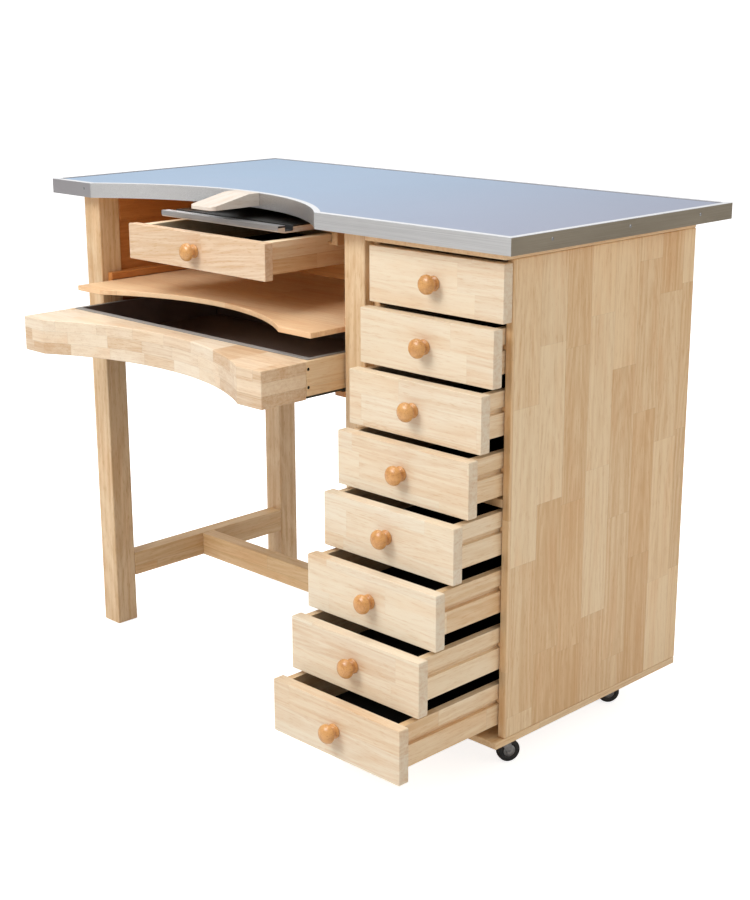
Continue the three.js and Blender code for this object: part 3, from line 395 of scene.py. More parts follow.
def wood_group():
    """Glued staves of random tint, with arched rings, streaks, pores, reddish patches and joint lines."""
    tree, start, end = new_group("Wood staves", {
        "Vector": ("NodeSocketVector", None),
        "Light": ("NodeSocketColor", PANEL_LIGHT),
        "Dark": ("NodeSocketColor", PANEL_DARK),
        "Stave Width": ("NodeSocketFloat", 0.05),
        "Stave Length": ("NodeSocketFloat", 0.4),
        "Joint": ("NodeSocketFloat", 0.3),
        "Tint": ("NodeSocketFloat", 0.5),
        "Figure": ("NodeSocketFloat", 0.5),
        "Blush": ("NodeSocketFloat", 0.4),
    })
    given = start.outputs
    grain = add(tree, "ShaderNodeSeparateXYZ", {0: given["Vector"]}).outputs
    along, across = grain[0], grain[1]
    rows = calc(tree, "DIVIDE", across, given["Stave Width"])
    row = calc(tree, "FLOOR", rows)
    row_random = add(tree, "ShaderNodeTexWhiteNoise", {"W": row}, noise_dimensions="1D").outputs[0]
    lengths = calc(tree, "DIVIDE", along, given["Stave Length"])
    columns = calc(tree, "MULTIPLY_ADD", row_random, STAVE_SHIFT, lengths)
    column = calc(tree, "FLOOR", columns)
    cell = add(tree, "ShaderNodeCombineXYZ", {0: row, 1: column}).outputs[0]
    random = add(tree, "ShaderNodeTexWhiteNoise", {"Vector": cell}, noise_dimensions="3D")
    tint = random.outputs["Value"]
    warmth = add(tree, "ShaderNodeSeparateColor", {0: random.outputs["Color"]}).outputs[1]

    moved = calc(tree, "MULTIPLY", tint, FIGURE_SHIFT)
    streak = grain_noise(tree, grain, **STREAK_NOISE, shift=moved)
    wander = grain_noise(tree, grain, **WANDER_NOISE, shift=moved)
    middle = calc(tree, "SUBTRACT", calc(tree, "FRACT", rows), 0.5)
    arch = calc(tree, "MULTIPLY", along, ARCH_LENGTH)
    arch = calc(tree, "MULTIPLY_ADD", calc(tree, "MULTIPLY", middle, middle), ARCH_CURVE, arch)
    arch = calc(tree, "MULTIPLY_ADD", wander, ARCH_WANDER, arch)
    rings = calc(tree, "SINE", calc(tree, "MULTIPLY", arch, ARCH_RINGS))
    pores = ramp(tree, grain_noise(tree, grain, **PORE_NOISE), *PORE_RANGE)
    blush = ramp(tree, grain_noise(tree, grain, **BLUSH_NOISE, shift=moved), *BLUSH_RANGE)

    row_edge = calc(tree, "MULTIPLY", calc(tree, "PINGPONG", rows, 0.5), given["Stave Width"])
    column_edge = calc(tree, "MULTIPLY", calc(tree, "PINGPONG", columns, 0.5), given["Stave Length"])
    nearest = calc(tree, "MINIMUM", row_edge, column_edge)
    line = calc(tree, "MULTIPLY", ramp(tree, nearest, 0.0, JOINT_WIDTH, 1.0, 0.0), given["Joint"])

    figure = calc(tree, "MULTIPLY", ramp(tree, streak, *STREAK_RANGE), STREAK_SHARE)
    figure = calc(tree, "MULTIPLY_ADD", rings, RING_SHARE, figure)
    figure = calc(tree, "MULTIPLY_ADD", pores, PORE_SHARE, figure)
    tone = calc(tree, "MULTIPLY", tint, given["Tint"])
    tone = calc(tree, "MULTIPLY_ADD", figure, given["Figure"], tone)
    colour = blend_colour(tree, ramp(tree, tone, *TONE_RANGE), given["Light"], given["Dark"])
    warm = calc(tree, "MULTIPLY", warmth, WARMTH_SHARE)
    colour = blend_colour(tree, warm, colour, STAVE_WARMTH, "MULTIPLY")
    reddish = calc(tree, "MULTIPLY", blush, given["Blush"])
    colour = blend_colour(tree, reddish, colour, BLUSH, "MULTIPLY")
    shade = calc(tree, "SUBTRACT", 1.0, line)
    grey = add(tree, "ShaderNodeCombineColor", {0: shade, 1: shade, 2: shade}).outputs[0]
    colour = blend_colour(tree, 1.0, colour, grey, "MULTIPLY")
    roughness = calc(tree, "MULTIPLY_ADD", streak, WOOD_SPREAD, WOOD_ROUGHNESS)
    raised = calc(tree, "MULTIPLY", streak, STREAK_HEIGHT)
    height = calc(tree, "SUBTRACT", raised, calc(tree, "MAXIMUM", pores, line))
    finish_group(tree, end, colour, roughness, height)
    return tree


def brushed_group():
    """Brushed metal: fine lines along the first axis, with broad clouding."""
    tree, start, end = new_group("Brushed metal", {
        "Vector": ("NodeSocketVector", None),
        "Light": ("NodeSocketColor", STEEL),
        "Dark": ("NodeSocketColor", STEEL_DARK),
    })
    grain = add(tree, "ShaderNodeSeparateXYZ", {0: start.outputs["Vector"]}).outputs
    lines = grain_noise(tree, grain, **BRUSH_NOISE)
    sheen = grain_noise(tree, grain, **SHEEN_NOISE)
    tone = calc(tree, "MULTIPLY_ADD", lines, BRUSH_SHARE, calc(tree, "MULTIPLY", sheen, SHEEN_SHARE))
    colour = blend_colour(tree, ramp(tree, tone, *BRUSH_RANGE), start.outputs["Light"], start.outputs["Dark"])
    roughness = calc(tree, "MULTIPLY_ADD", sheen, BRUSH_SPREAD, BRUSH_ROUGHNESS)
    finish_group(tree, end, colour, roughness, lines)
    return tree


def mottled_group():
    """Even coat with soft clouding of the size given and small specks."""
    tree, start, end = new_group("Mottled coat", {
        "Vector": ("NodeSocketVector", None),
        "Base": ("NodeSocketColor", BLACK),
        "Spot": ("NodeSocketColor", BLACK_SPOT),
        "Size": ("NodeSocketFloat", 0.05),
        "Gloss": ("NodeSocketFloat", 0.5),
    })
    given = start.outputs
    size = add(tree, "ShaderNodeCombineXYZ", {axis: given["Size"] for axis in range(3)}).outputs[0]
    scaled = add(tree, "ShaderNodeVectorMath", {0: given["Vector"], 1: size}, operation="DIVIDE").outputs[0]
    cloud = add(tree, "ShaderNodeTexNoise", {"Vector": scaled, **CLOUD_NOISE}).outputs[0]
    grit = add(tree, "ShaderNodeTexNoise", {"Vector": given["Vector"], **SPECK_NOISE}).outputs[0]
    speck = ramp(tree, grit, *SPECK_RANGE)
    tone = calc(tree, "MULTIPLY_ADD", speck, SPECK_SHARE, ramp(tree, cloud, *CLOUD_RANGE))
    colour = blend_colour(tree, tone, given["Base"], given["Spot"])
    smoothest = calc(tree, "SUBTRACT", given["Gloss"], COAT_SPREAD / 2)
    roughness = calc(tree, "MULTIPLY_ADD", cloud, COAT_SPREAD, smoothest)
    height = calc(tree, "MULTIPLY_ADD", speck, SPECK_HEIGHT, cloud)
    finish_group(tree, end, colour, roughness, height)
    return tree


WOOD = wood_group()
BRUSHED = brushed_group()
MOTTLED = mottled_group()


# Materials

def new_material(name):
    """Node material with only a Principled shader, together with its tree and the shader."""
    material = bpy.data.materials.new(name)
    material.use_nodes = True
    tree = material.node_tree
    tree.nodes.clear()
    output = tree.nodes.new("ShaderNodeOutputMaterial")
    shader = tree.nodes.new("ShaderNodeBsdfPrincipled")
    tree.links.new(shader.outputs[0], output.inputs["Surface"])
    return material, tree, shader


def opened(material):
    """Node tree of a material and its Principled shader."""
    tree = material.node_tree
    shader = next(node for node in tree.nodes if node.type == "BSDF_PRINCIPLED")
    return tree, shader


def object_axes(tree, order=PLAIN_ORDER, tilt=0.0):
    """Object coordinates turned about Y by the tilt in degrees, with the axes in the order given."""
    source = add(tree, "ShaderNodeTexCoord").outputs["Object"]
    if tilt:
        turned = {"Vector": source, "Angle": math.radians(tilt)}
        source = add(tree, "ShaderNodeVectorRotate", turned, rotation_type="Y_AXIS").outputs[0]
    parts = add(tree, "ShaderNodeSeparateXYZ", {0: source}).outputs
    values = {place: parts[axis] for place, axis in enumerate(order)}
    return add(tree, "ShaderNodeCombineXYZ", values).outputs[0]


def object_axis(tree, axis):
    """One axis of the object coordinates."""
    source = add(tree, "ShaderNodeTexCoord").outputs["Object"]
    return add(tree, "ShaderNodeSeparateXYZ", {0: source}).outputs[axis]


def beyond(tree, axis, place, soft=MASK_SOFT):
    """1 beyond a place along an axis of the object coordinates and 0 before it."""
    return ramp(tree, object_axis(tree, axis), place - soft, place + soft)


def before(tree, axis, place):
    """1 before a place along an axis of the object coordinates and 0 beyond it."""
    return calc(tree, "SUBTRACT", 1.0, beyond(tree, axis, place))


def add_group(tree, group, values):
    """Group node with the values given."""
    return add(tree, "ShaderNodeGroup", values, node_tree=group)


def shade_with(tree, shader, group, values, bump):
    """Links a surface group to the shader, with its height as bump of the depth given in metres."""
    node = add_group(tree, group, values)
    tree.links.new(node.outputs["Color"], shader.inputs["Base Color"])
    tree.links.new(node.outputs["Roughness"], shader.inputs["Roughness"])
    lift_values = {"Height": node.outputs["Height"], "Distance": bump, "Strength": BUMP_STRENGTH}
    lift = add(tree, "ShaderNodeBump", lift_values)
    tree.links.new(lift.outputs[0], shader.inputs["Normal"])


def recolour(tree, shader, mask, colour):
    """Puts a colour over the shader's present colour where the mask is 1."""
    present = shader.inputs["Base Color"].links[0].from_socket
    tree.links.new(blend_colour(tree, mask, present, colour), shader.inputs["Base Color"])


def wood_material(name, order, light=PANEL_LIGHT, dark=PANEL_DARK, width=0.055, length=0.42, joint=0.15,
                  tint=0.5, figure=0.5, tilt=0.0, coat=0.12):
    """Lacquered wood whose grain runs along the first axis of the order."""
    material, tree, shader = new_material(name)
    values = {"Vector": object_axes(tree, order, tilt), "Light": light, "Dark": dark,
              "Stave Width": width, "Stave Length": length, "Joint": joint, "Tint": tint, "Figure": figure}
    shade_with(tree, shader, WOOD, values, WOOD_BUMP)
    shader.inputs["Coat Weight"].default_value = coat
    shader.inputs["Coat Roughness"].default_value = LACQUER_ROUGHNESS
    return material


def mottled_material(name, base, spot, size, gloss, metallic=0.0):
    """Painted, moulded or plated surface with soft clouding."""
    material, tree, shader = new_material(name)
    values = {"Vector": object_axes(tree), "Base": base, "Spot": spot, "Size": size, "Gloss": gloss}
    shade_with(tree, shader, MOTTLED, values, COAT_BUMP)
    shader.inputs["Metallic"].default_value = metallic
    return material


def brushed_material(name, order, light=STEEL, dark=STEEL_DARK):
    """Brushed metal whose lines run along the first axis of the order."""
    material, tree, shader = new_material(name)
    values = {"Vector": object_axes(tree, order), "Light": light, "Dark": dark}
    shade_with(tree, shader, BRUSHED, values, BRUSH_BUMP)
    shader.inputs["Metallic"].default_value = 1.0
    return material


def face_wood(material, mask, face):
    """Puts a dark mottled facing over a wood material where the mask is 1."""
    tree, shader = opened(material)
    values = {"Vector": object_axes(tree), "Base": face, "Spot": BLACK_SPOT,
              "Size": FACING_SIZE, "Gloss": FACING_GLOSS}
    recolour(tree, shader, mask, add_group(tree, MOTTLED, values).outputs["Color"])


def tray_frame_material(name, low):
    """Wood of the tray's side boards, with the dark bottom sheet below them."""
    material = wood_material(name, GRAIN_Y, BOX_LIGHT, BOX_DARK, width=0.06, length=0.45)
    face_wood(material, before(material.node_tree, Z_AXIS, low.z + TRAY_BOTTOM), GREEN_BLACK)
    return material


def slide_material(name, low, high):
    """Pale wood board with a black top facing, and black in the tool groove behind the lip."""
    material = wood_material(name, GRAIN_X, PIN_LIGHT, PIN_DARK, width=0.06, length=0.45)
    tree, shader = opened(material)
    face_wood(material, beyond(tree, Z_AXIS, high.z - FACING), BLACK)
    groove_start = low.y + LIP_DEPTH - SKIN
    groove_end = groove_start + GROOVE_REACH + 2 * SKIN
    groove = calc(tree, "MULTIPLY", beyond(tree, Y_AXIS, groove_start), before(tree, Y_AXIS, groove_end))
    groove = calc(tree, "MULTIPLY", groove, beyond(tree, Z_AXIS, high.z - GROOVE_DEPTH - SKIN))
    recolour(tree, shader, groove, BLACK)
    return material


def band_material(name, low, high):
    """Brushed edge band with a painted highlight on its level rim, painted shade that makes its right side
    browner, and painted shade that makes the short strip at its left dull.
    """
    material = brushed_material(name, GRAIN_X)
    tree, shader = opened(material)
    # Painted shade: the band's right side gets a browner, darker brushed colour
    shaded_side_values = {"Vector": object_axes(tree, GRAIN_Y), "Light": STEEL_SHADED_SIDE, "Dark": STEEL_SHADED_SIDE_DARK}
    side = add_group(tree, BRUSHED, shaded_side_values)
    recolour(tree, shader, beyond(tree, X_AXIS, high.x - SKIN), side.outputs["Color"])
    # Painted shade: the short strip at the left of the band's front is duller
    recolour(tree, shader, before(tree, X_AXIS, low.x + STRIP_END), STEEL_STRIP_SHADE)
    # Painted highlight: the band's level top is pale and not metallic
    rim = beyond(tree, Z_AXIS, high.z - SKIN)
    recolour(tree, shader, rim, RIM_HIGHLIGHT)
    tree.links.new(calc(tree, "SUBTRACT", 1.0, rim), shader.inputs["Metallic"])
    return material


def sheet_material(name, low, high):
    """Bluish sheet that turns towards lilac across its width, with a painted shadow line along the rim at its
    rear and left edges.
    """
    material = mottled_material(name, SHEET_BLUE, SHEET_CLOUD, size=0.45, gloss=0.42, metallic=0.35)
    tree, shader = opened(material)
    half_width = (high.x - low.x) / 2
    recolour(tree, shader, beyond(tree, X_AXIS, half_width * LILAC_CENTRE, half_width), SHEET_LILAC)
    # Painted shadow along the rim at the sheet's rear and left edges
    recolour(tree, shader, beyond(tree, Y_AXIS, high.y - SEAM_SHADOW_WIDTH), SHEET_EDGE_SHADOW)
    recolour(tree, shader, before(tree, X_AXIS, low.x + SEAM_SHADOW_WIDTH), SHEET_EDGE_SHADOW)
    return material


def ribbed_material(name):
    """Dull black mat with fine ribs from front to back."""
    material = mottled_material(name, BLACK, BLACK_SPOT, size=0.07, gloss=0.8)
    tree, shader = opened(material)
    shader.inputs["Specular IOR Level"].default_value = MAT_SHINE
    turns = calc(tree, "MULTIPLY", object_axis(tree, X_AXIS), 2 * math.pi / RIB_PITCH)
    recolour(tree, shader, ramp(tree, calc(tree, "SINE", turns), *RIB_RANGE), RIB_GREEN)
    return material


def pan_material(name, high):
    """Dark enamel pan with a plain grey flange."""
    material = mottled_material(name, ENAMEL, ENAMEL_SPOT, size=0.08, gloss=0.45)
    tree, shader = opened(material)
    recolour(tree, shader, beyond(tree, Z_AXIS, high.z - PAN_FLANGE), PAN_GREY)
    return material


def floor_material(name):
    """Pale paint that glows for the camera alone, so that the floor ends in white."""
    material, tree, shader = new_material(name)
    shader.inputs["Base Color"].default_value = FLOOR_WHITE
    shader.inputs["Roughness"].default_value = FLOOR_ROUGHNESS
    shader.inputs["Emission Color"].default_value = WHITE
    seen = add(tree, "ShaderNodeLightPath").outputs["Is Camera Ray"]
    tree.links.new(calc(tree, "MULTIPLY", seen, FLOOR_GLOW), shader.inputs["Emission Strength"])
    return material


tray_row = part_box("tray_front")[0].z / TRAY_ROWS_BELOW

MATERIALS = {
    "panel": wood_material("panel_wood", GRAIN_Z, width=0.066, length=0.27, joint=0.08,
                           tint=0.55, figure=0.45),
    "edge_board": wood_material("edge_board_wood", GRAIN_Y, width=0.06, length=0.5, tint=0.3),
    "board": wood_material("top_board_wood", GRAIN_X_FLAT, width=0.07, length=0.6),
    "leg": wood_material("leg_wood", GRAIN_Z, LEG_LIGHT, LEG_DARK, width=0.4, length=1.9, joint=0.0,
                         tint=0.25),
    "rail_x": wood_material("rail_wood_x", GRAIN_X, RAIL_LIGHT, RAIL_DARK, width=0.06, length=0.6),
    "rail_y": wood_material("rail_wood_y", GRAIN_Y, RAIL_LIGHT, RAIL_DARK, width=0.06, length=0.6),
    "front": wood_material("front_wood", GRAIN_X, FRONT_LIGHT, FRONT_DARK, width=0.047, length=0.26,
                           joint=0.04, tint=0.32, figure=0.44),
    "upper_front": wood_material("upper_front_wood", GRAIN_X, UPPER_LIGHT, UPPER_DARK, width=0.045,
                                 length=0.3, joint=0.05, tint=0.35, tilt=7),
    "box": wood_material("box_wood", GRAIN_Y, BOX_LIGHT, BOX_DARK, width=0.05, length=0.36, joint=0.1),
    "shelf": wood_material("shelf_wood", GRAIN_X_FLAT, SHELF_LIGHT, SHELF_DARK, width=0.07, length=0.5),
    # Painted shade: the bay's boards use the darker, redder copy of the wood
    "bay_back": wood_material("bay_back_shaded_wood", GRAIN_X, BAY_SHADED_LIGHT, BAY_SHADED_DARK, width=0.12, length=0.9),
    "bay_side": wood_material("bay_side_shaded_wood", GRAIN_Y, BAY_SHADED_LIGHT, BAY_SHADED_DARK, width=0.12, length=0.9),
    "tray_front": wood_material("tray_front_wood", GRAIN_X, BLOCK_LIGHT, BLOCK_DARK, width=tray_row,
                                length=0.085, joint=0.10, tint=0.55, figure=0.35),
    "tray_frame": tray_frame_material("tray_frame_wood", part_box("tray_frame")[0]),
    "pan": pan_material("pan_enamel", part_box("tray_pan")[1]),
    "pin": wood_material("pin_wood", GRAIN_Y_FLAT, PIN_LIGHT, PIN_DARK, width=0.2, length=0.9, joint=0.0,
                         tint=0.2),
    "slide": slide_material("slide_board_wood", *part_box("slide_board")),
    "cap": brushed_material("lip_cap_metal", GRAIN_X, CAP_LIGHT, CAP_DARK),
    "knob": wood_material("turned_wood", GRAIN_Y, KNOB_LIGHT, KNOB_DARK, width=0.3, length=1.5, joint=0.0,
                          tint=0.3, coat=0.9),
    "sheet": sheet_material("top_sheet_metal", *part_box("top_sheet")),
    "band": band_material("band_metal", *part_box("edge_band")),
    "screw": mottled_material("screw_metal", ZINC, ZINC_SPOT, size=0.004, gloss=0.3, metallic=1.0),
    "lining": ribbed_material("drawer_lining"),
    "zinc": mottled_material("caster_zinc", ZINC, ZINC_SPOT, size=0.012, gloss=0.35, metallic=1.0),
    "rubber": mottled_material("caster_rubber", RUBBER, RUBBER_SPOT, size=0.01, gloss=0.6),
    "floor": floor_material("floor_paint"),
}

NODE_MATERIALS = {
    "top_board": "board", "top_sheet": "sheet", "edge_band": "band", "bench_pin": "pin",
    "leg_front_left": "leg", "leg_rear_left": "leg", "post_front": "leg", "post_rear": "leg",
    "side_stretcher": "rail_y", "cross_stretcher": "rail_x", "bay_left_side": "bay_side",
    "bay_right_side": "bay_side", "bay_back_board": "bay_back", "upper_runner_left": "rail_y",
    "upper_runner_right": "rail_y", "cabinet_right_panel": "panel", "cabinet_left_panel": "panel",
    "cabinet_back_panel": "panel", "cabinet_base": "edge_board", "cabinet_top": "edge_board",
    "arm_rest_shelf": "shelf", "tray_front": "tray_front", "tray_frame": "tray_frame",
    "tray_pan": "pan", "slide_board": "slide", "upper_drawer_front": "upper_front",
}
ENDING_MATERIALS = {"_front": "front", "_box": "box", "_knob": "knob", "_fork": "zinc", "_wheel": "rubber"}
EDGES = {"sheet": METAL_EDGE, "band": METAL_EDGE, "pan": METAL_EDGE, "zinc": METAL_EDGE, "rubber": METAL_EDGE,
         "leg": LEG_EDGE, "tray_front": TRAY_EDGE}


def material_for(node):
    """Key of the material of a CAD node, by its name or by the name's ending."""
    if node in NODE_MATERIALS:
        return NODE_MATERIALS[node]
    return next(key for ending, key in ENDING_MATERIALS.items() if node.endswith(ending))


def dress_cad_nodes():
    """Gives every CAD node its material and rounded edges, and the band an even shading along its curve."""
    for name, node in frame["nodes"].items():
        key = material_for(name)
        node.data.materials.clear()
        node.data.materials.append(MATERIALS[key])
        weld = node.modifiers.new("weld", "WELD")
        weld.merge_threshold = WELD_DISTANCE
        bevel = node.modifiers.new("bevel", "BEVEL")
        bevel.width = EDGES.get(key, WOOD_EDGE)
        bevel.segments = EDGE_SEGMENTS
        bevel.limit_method = "ANGLE"
        bevel.angle_limit = EDGE_ANGLE
        if key == "band":
            node.modifiers.new("even_shading", "WEIGHTED_NORMAL")


# New pieces as surfaces on a grid of two parameters

def shade_smooth(mesh, smooth):
    """Shades every face of a mesh smooth or flat."""
    mesh.polygons.foreach_set("use_smooth", np.full(len(mesh.polygons), smooth))
    mesh.update()


def mesh_from_grid(name, points, material, close_u=False, close_v=False):
    """Object with a mesh of a grid of points, (rows, columns, 3), closed round either parameter if asked.

    Points that meet at a pole become one, and the faces are turned outwards.
    """
    rows, columns = points.shape[:2]
    numbers = np.arange(rows * columns).reshape(rows, columns)
    if close_u:
        numbers = np.concatenate([numbers, numbers[:1]], 0)
    if close_v:
        numbers = np.concatenate([numbers, numbers[:, :1]], 1)
    faces = np.stack([numbers[:-1, :-1], numbers[:-1, 1:], numbers[1:, 1:], numbers[1:, :-1]], -1)
    mesh = bpy.data.meshes.new(name)
    mesh.from_pydata(points.reshape(-1, 3).tolist(), [], faces.reshape(-1, 4).tolist())
    shell = bmesh.new()
    shell.from_mesh(mesh)
    bmesh.ops.remove_doubles(shell, verts=shell.verts, dist=MERGE_DISTANCE)
    bmesh.ops.recalc_face_normals(shell, faces=shell.faces)
    shell.to_mesh(mesh)
    shell.free()
    shade_smooth(mesh, True)
    mesh.materials.append(MATERIALS[material])
    piece = bpy.data.objects.new(name, mesh)
    bpy.context.scene.collection.objects.link(piece)
    return piece


def turned_points(profile, sides, centre, axis):
    """Profile of (radius, distance) turned about an axis: each row is one of its points carried round."""
    axis = np.array(axis, float)
    axis = axis / np.linalg.norm(axis)
    helper = (0.0, 0.0, 1.0) if abs(axis[2]) < STEEP else (1.0, 0.0, 0.0)
    first = np.cross(helper, axis)
    first = first / np.linalg.norm(first)
    second = np.cross(axis, first)
    angles = np.linspace(0, 2 * np.pi, sides, endpoint=False)
    ring = np.cos(angles)[:, None] * first + np.sin(angles)[:, None] * second
    profile = np.array(profile, float)
    return np.array(centre) + profile[:, 0, None, None] * ring + profile[:, 1, None, None] * axis


def smooth_profile(corners, radius):
    """Corner points joined by lines, each inner corner replaced by a short curve that starts the radius away.

    The curve is the quadratic one between two points on the lines, pulled towards the corner.
    """
    corners = np.array(corners, float)
    points = [corners[0]]
    way = np.linspace(0, 1, CURVE_STEPS)[:, None]
    for previous, corner, following in zip(corners[:-2], corners[1:-1], corners[2:]):
        into, out = previous - corner, following - corner
        into_length, out_length = np.linalg.norm(into), np.linalg.norm(out)
        reach = min(radius, CURVE_SHARE * into_length, CURVE_SHARE * out_length)
        first = corner + into / into_length * reach
        last = corner + out / out_length * reach
        points.extend((1 - way) ** 2 * first + 2 * way * (1 - way) * corner + way ** 2 * last)
    points.append(corners[-1])
    return np.array(points)


def slab(name, low, high, material):
    """Thin plate between two corners: a rounded rectangle, drawn in at its lower and upper rims.

    Round the outline, each coordinate is the cosine or sine raised to a small power with its sign kept.
    """
    low, high = np.array(low, float), np.array(high, float)
    centre, half = (low + high) / 2, (high - low) / 2
    angles = np.linspace(0, 2 * np.pi, SLAB_SIDES, endpoint=False)
    circle = np.stack([np.cos(angles), np.sin(angles)], -1)
    outline = np.sign(circle) * np.abs(circle) ** SLAB_CORNER
    rim = SLAB_EDGE / half[2]
    rims = [(0.0, -1.0, 0.0), (1.0, -1.0, SLAB_EDGE), (1.0, -1.0 + rim, 0.0),
            (1.0, 1.0 - rim, 0.0), (1.0, 1.0, SLAB_EDGE), (0.0, 1.0, 0.0)]
    rows = []
    for share, level, inset in rims:
        reach = (half[:2] - inset) * share
        rows.append(np.concatenate([outline * reach, np.full((len(angles), 1), level * half[2])], 1))
    return mesh_from_grid(name, np.array(rows) + centre, material, close_v=True)


def add_knobs():
    """Turned knobs with a ringed flange and a domed head, in place of the plain ones."""
    profile = smooth_profile(KNOB_CORNERS, KNOB_ROUNDING)
    for body in DRAWERS:
        node = f"{body}_knob"
        low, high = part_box(node)
        centre = ((low.x + high.x) / 2, high.y + KNOB_START, (low.z + high.z) / 2)
        points = turned_points(profile, KNOB_SIDES, centre, (0, -1, 0))
        knob = mesh_from_grid(f"{body}_turned_knob", points, "knob", close_v=True)
        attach(knob, body)
        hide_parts(node)


def add_wheels():
    """Rounded tyres in place of the plain ones, with a plated hub ring on each face."""
    mirrored = [(radius, -distance) for radius, distance in reversed(TYRE_HALF)]
    tyre_profile = smooth_profile(TYRE_HALF + [(TYRE_RADIUS, 0.0)] + mirrored, TYRE_ROUNDING)
    hub_profile = smooth_profile(HUB_CORNERS, RING_ROUNDING)
    for name in CASTERS:
        joint = JOINTS[f"caster_{name}_spin"]
        centre, axis = np.array(joint["pos_m"]), np.array(joint["axis"])
        body = f"caster_{name}_roll"
        points = turned_points(tyre_profile, TYRE_SIDES, centre, axis)
        tyre = mesh_from_grid(f"caster_{name}_tyre", points, "rubber", close_u=True, close_v=True)
        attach(tyre, body)
        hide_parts(f"caster_{name}_wheel")
        for label, side in (("a", -1), ("b", 1)):
            face = centre + side * (TYRE_FACE + HUB_GAP) * axis
            points = turned_points(hub_profile, RING_SIDES, face, side * axis)
            hub = mesh_from_grid(f"caster_{name}_hub_{label}", points, "zinc", close_u=True, close_v=True)
            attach(hub, body)


def add_caster_races():
    """Ball race between the base board and each fork."""
    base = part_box("cabinet_base")[0].z
    profile = smooth_profile(RACE_CORNERS, RING_ROUNDING)
    for name in CASTERS:
        x, y = JOINTS[f"caster_{name}_turn"]["pos_m"][:2]
        points = turned_points(profile, RING_SIDES, (x, y, base - RACE_DROP), (0, 0, 1))
        race = mesh_from_grid(f"caster_{name}_race", points, "zinc", close_u=True, close_v=True)
        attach(race, "bench")


def add_drawer_linings():
    """Black sheet on the bottom of every drawer box."""
    for body in DRAWERS:
        low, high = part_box(f"{body}_box")
        side = LINING_SIDE + (HANGING_STRIP if body == "upper_drawer" else 0.0)
        floor = low.z + BOX_FLOOR + LINING_LIFT
        lining = slab(f"{body}_lining", (low.x + side, low.y + LINING_FRONT, floor),
                      (high.x - side, high.y - LINING_BACK, floor + LINING_THICK), "lining")
        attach(lining, body)


def add_lip_cap():
    """Metal strip on top of the slide-out board's lip, folded down its front.

    The section is carried along X, and at each end it closes onto the middle of its wall.
    """
    low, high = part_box("slide_board")
    outer, inner = CAP_GAP + CAP_THICK, CAP_GAP
    section = np.array([(low.y - outer, high.z - CAP_DROP), (low.y - outer, high.z + outer),
                        (low.y + CAP_DEPTH, high.z + outer), (low.y + CAP_DEPTH, high.z + inner),
                        (low.y - inner, high.z + inner), (low.y - inner, high.z - CAP_DROP)])
    middle = (section + section[::-1]) / 2
    left, right = low.x + CAP_GAP, high.x - CAP_GAP
    rows = ((left, middle), (left, section), (right, section), (right, middle))
    points = np.stack([np.column_stack([np.full(len(part), x), part]) for x, part in rows])
    cap = mesh_from_grid("slide_board_lip_cap", points, "cap", close_v=True)
    shade_smooth(cap.data, False)
    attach(cap, "slide_out_board")


def add_screw(name, place, axis, body, material="screw"):
    """Domed head of a nail or screw on a face."""
    profile = smooth_profile(SCREW_CORNERS, SCREW_ROUNDING)
    points = turned_points(profile, SCREW_SIDES, place, axis)
    screw = mesh_from_grid(name, points, material, close_v=True)
    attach(screw, body)


def add_screws():
    """Small nails in the edge band, and the pairs of screws that hold the tray's side boards to its front."""
    low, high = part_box("edge_band")
    height = high.z - NAIL_DROP
    for index, y in enumerate(SIDE_NAILS):
        add_screw(f"band_nail_right_{index}", (high.x, low.y + y, height), (1, 0, 0), "bench")
        add_screw(f"band_nail_left_{index}", (low.x, low.y + y, height), (-1, 0, 0), "bench")
    add_screw("band_nail_front", (low.x + FRONT_NAIL, low.y, height), (0, -1, 0), "bench")
    for index, x in enumerate(REAR_NAILS):
        add_screw(f"band_nail_rear_{index}", (low.x + x, high.y, height), (0, 1, 0), "bench")
    low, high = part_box("tray_frame")
    for side, x, axis in (("left", low.x, (-1, 0, 0)), ("right", high.x, (1, 0, 0))):
        for index, drop in enumerate(TRAY_SCREW_DROPS):
            place = (x, low.y + TRAY_SCREW_SETBACK, high.z - drop)
            add_screw(f"tray_screw_{side}_{index}", place, axis, "catch_tray", "lining")


# Studio

def add_floor():
    """Pale round floor that curves up into a rim.

    Rings of growing radius, each level up to the flat part and then raised by the square of the way past it.
    """
    radius = np.linspace(0, FLOOR_REACH, FLOOR_RINGS)[:, None]
    angle = np.linspace(0, 2 * np.pi, FLOOR_SIDES, endpoint=False)[None, :]
    rise = FLOOR_RISE * (np.maximum(radius - FLOOR_FLAT, 0) / (FLOOR_REACH - FLOOR_FLAT)) ** 2 - FLOOR_GAP
    points = np.stack([radius * np.cos(angle), radius * np.sin(angle), rise + 0 * angle], -1)
    floor = mesh_from_grid("floor", points, "floor", close_v=True)


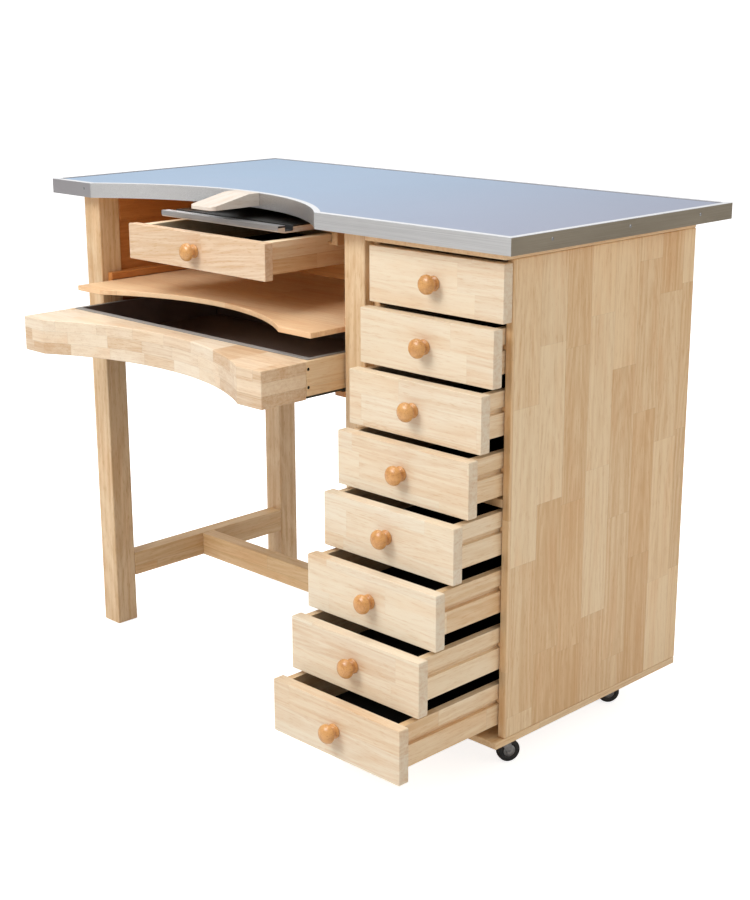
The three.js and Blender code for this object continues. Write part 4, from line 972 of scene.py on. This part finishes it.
def look_matrix(place, back, roll=0.0):
    """Matrix at a place whose Z axis points along back and whose X axis is level, turned by the roll."""
    back = np.array(back, float) / np.linalg.norm(back)
    right = np.cross((0, 0, 1), back)
    right = right / np.linalg.norm(right)
    up = np.cross(back, right)
    cosine, sine = math.cos(roll), math.sin(roll)
    matrix = np.eye(4)
    matrix[:3, 0] = cosine * right + sine * up
    matrix[:3, 1] = cosine * up - sine * right
    matrix[:3, 2] = back
    matrix[:3, 3] = place
    return Matrix(matrix.tolist())


def add_light(name, place, target, size, power, colour=WHITE_LIGHT):
    """Square soft light that points at a target."""
    data = bpy.data.lights.new(name, "AREA")
    data.size = size
    data.energy = power
    data.color = colour
    lamp = bpy.data.objects.new(name, data)
    bpy.context.scene.collection.objects.link(lamp)
    lamp.matrix_world = look_matrix(place, np.array(place, float) - np.array(target, float))


def add_camera():
    """Camera at the photograph's place and angle."""
    data = bpy.data.cameras.new("camera")
    data.sensor_width = CAMERA_SENSOR
    data.lens = CAMERA_LENS
    data.clip_start = CAMERA_NEAR
    data.clip_end = CAMERA_FAR
    camera = bpy.data.objects.new("camera", data)
    bpy.context.scene.collection.objects.link(camera)
    azimuth, elevation = math.radians(CAMERA_AZIMUTH), math.radians(CAMERA_ELEVATION)
    level = math.cos(elevation)
    back = (math.sin(azimuth) * level, -math.cos(azimuth) * level, math.sin(elevation))
    camera.matrix_world = look_matrix(CAMERA_PLACE, back, math.radians(CAMERA_ROLL))
    bpy.context.scene.camera = camera


def set_studio():
    """Pale surroundings, three soft lights and plain colour settings."""
    world = bpy.data.worlds.new("studio")
    world.use_nodes = True
    background = world.node_tree.nodes["Background"]
    background.inputs["Color"].default_value = WHITE
    background.inputs["Strength"].default_value = WORLD_STRENGTH
    scene = bpy.context.scene
    scene.world = world
    scene.view_settings.view_transform = "Standard"
    add_light("key", KEY_PLACE, MIDDLE, KEY_SIZE, KEY_POWER)
    add_light("side", SIDE_PLACE, SIDE_TARGET, SIDE_SIZE, SIDE_POWER, SIDE_COLOUR)
    add_light("top", TOP_PLACE, MIDDLE, TOP_SIZE, TOP_POWER)


dress_cad_nodes()
add_knobs()
add_wheels()
add_caster_races()
add_drawer_linings()
add_lip_cap()
add_screws()
add_floor()
add_camera()
set_studio()
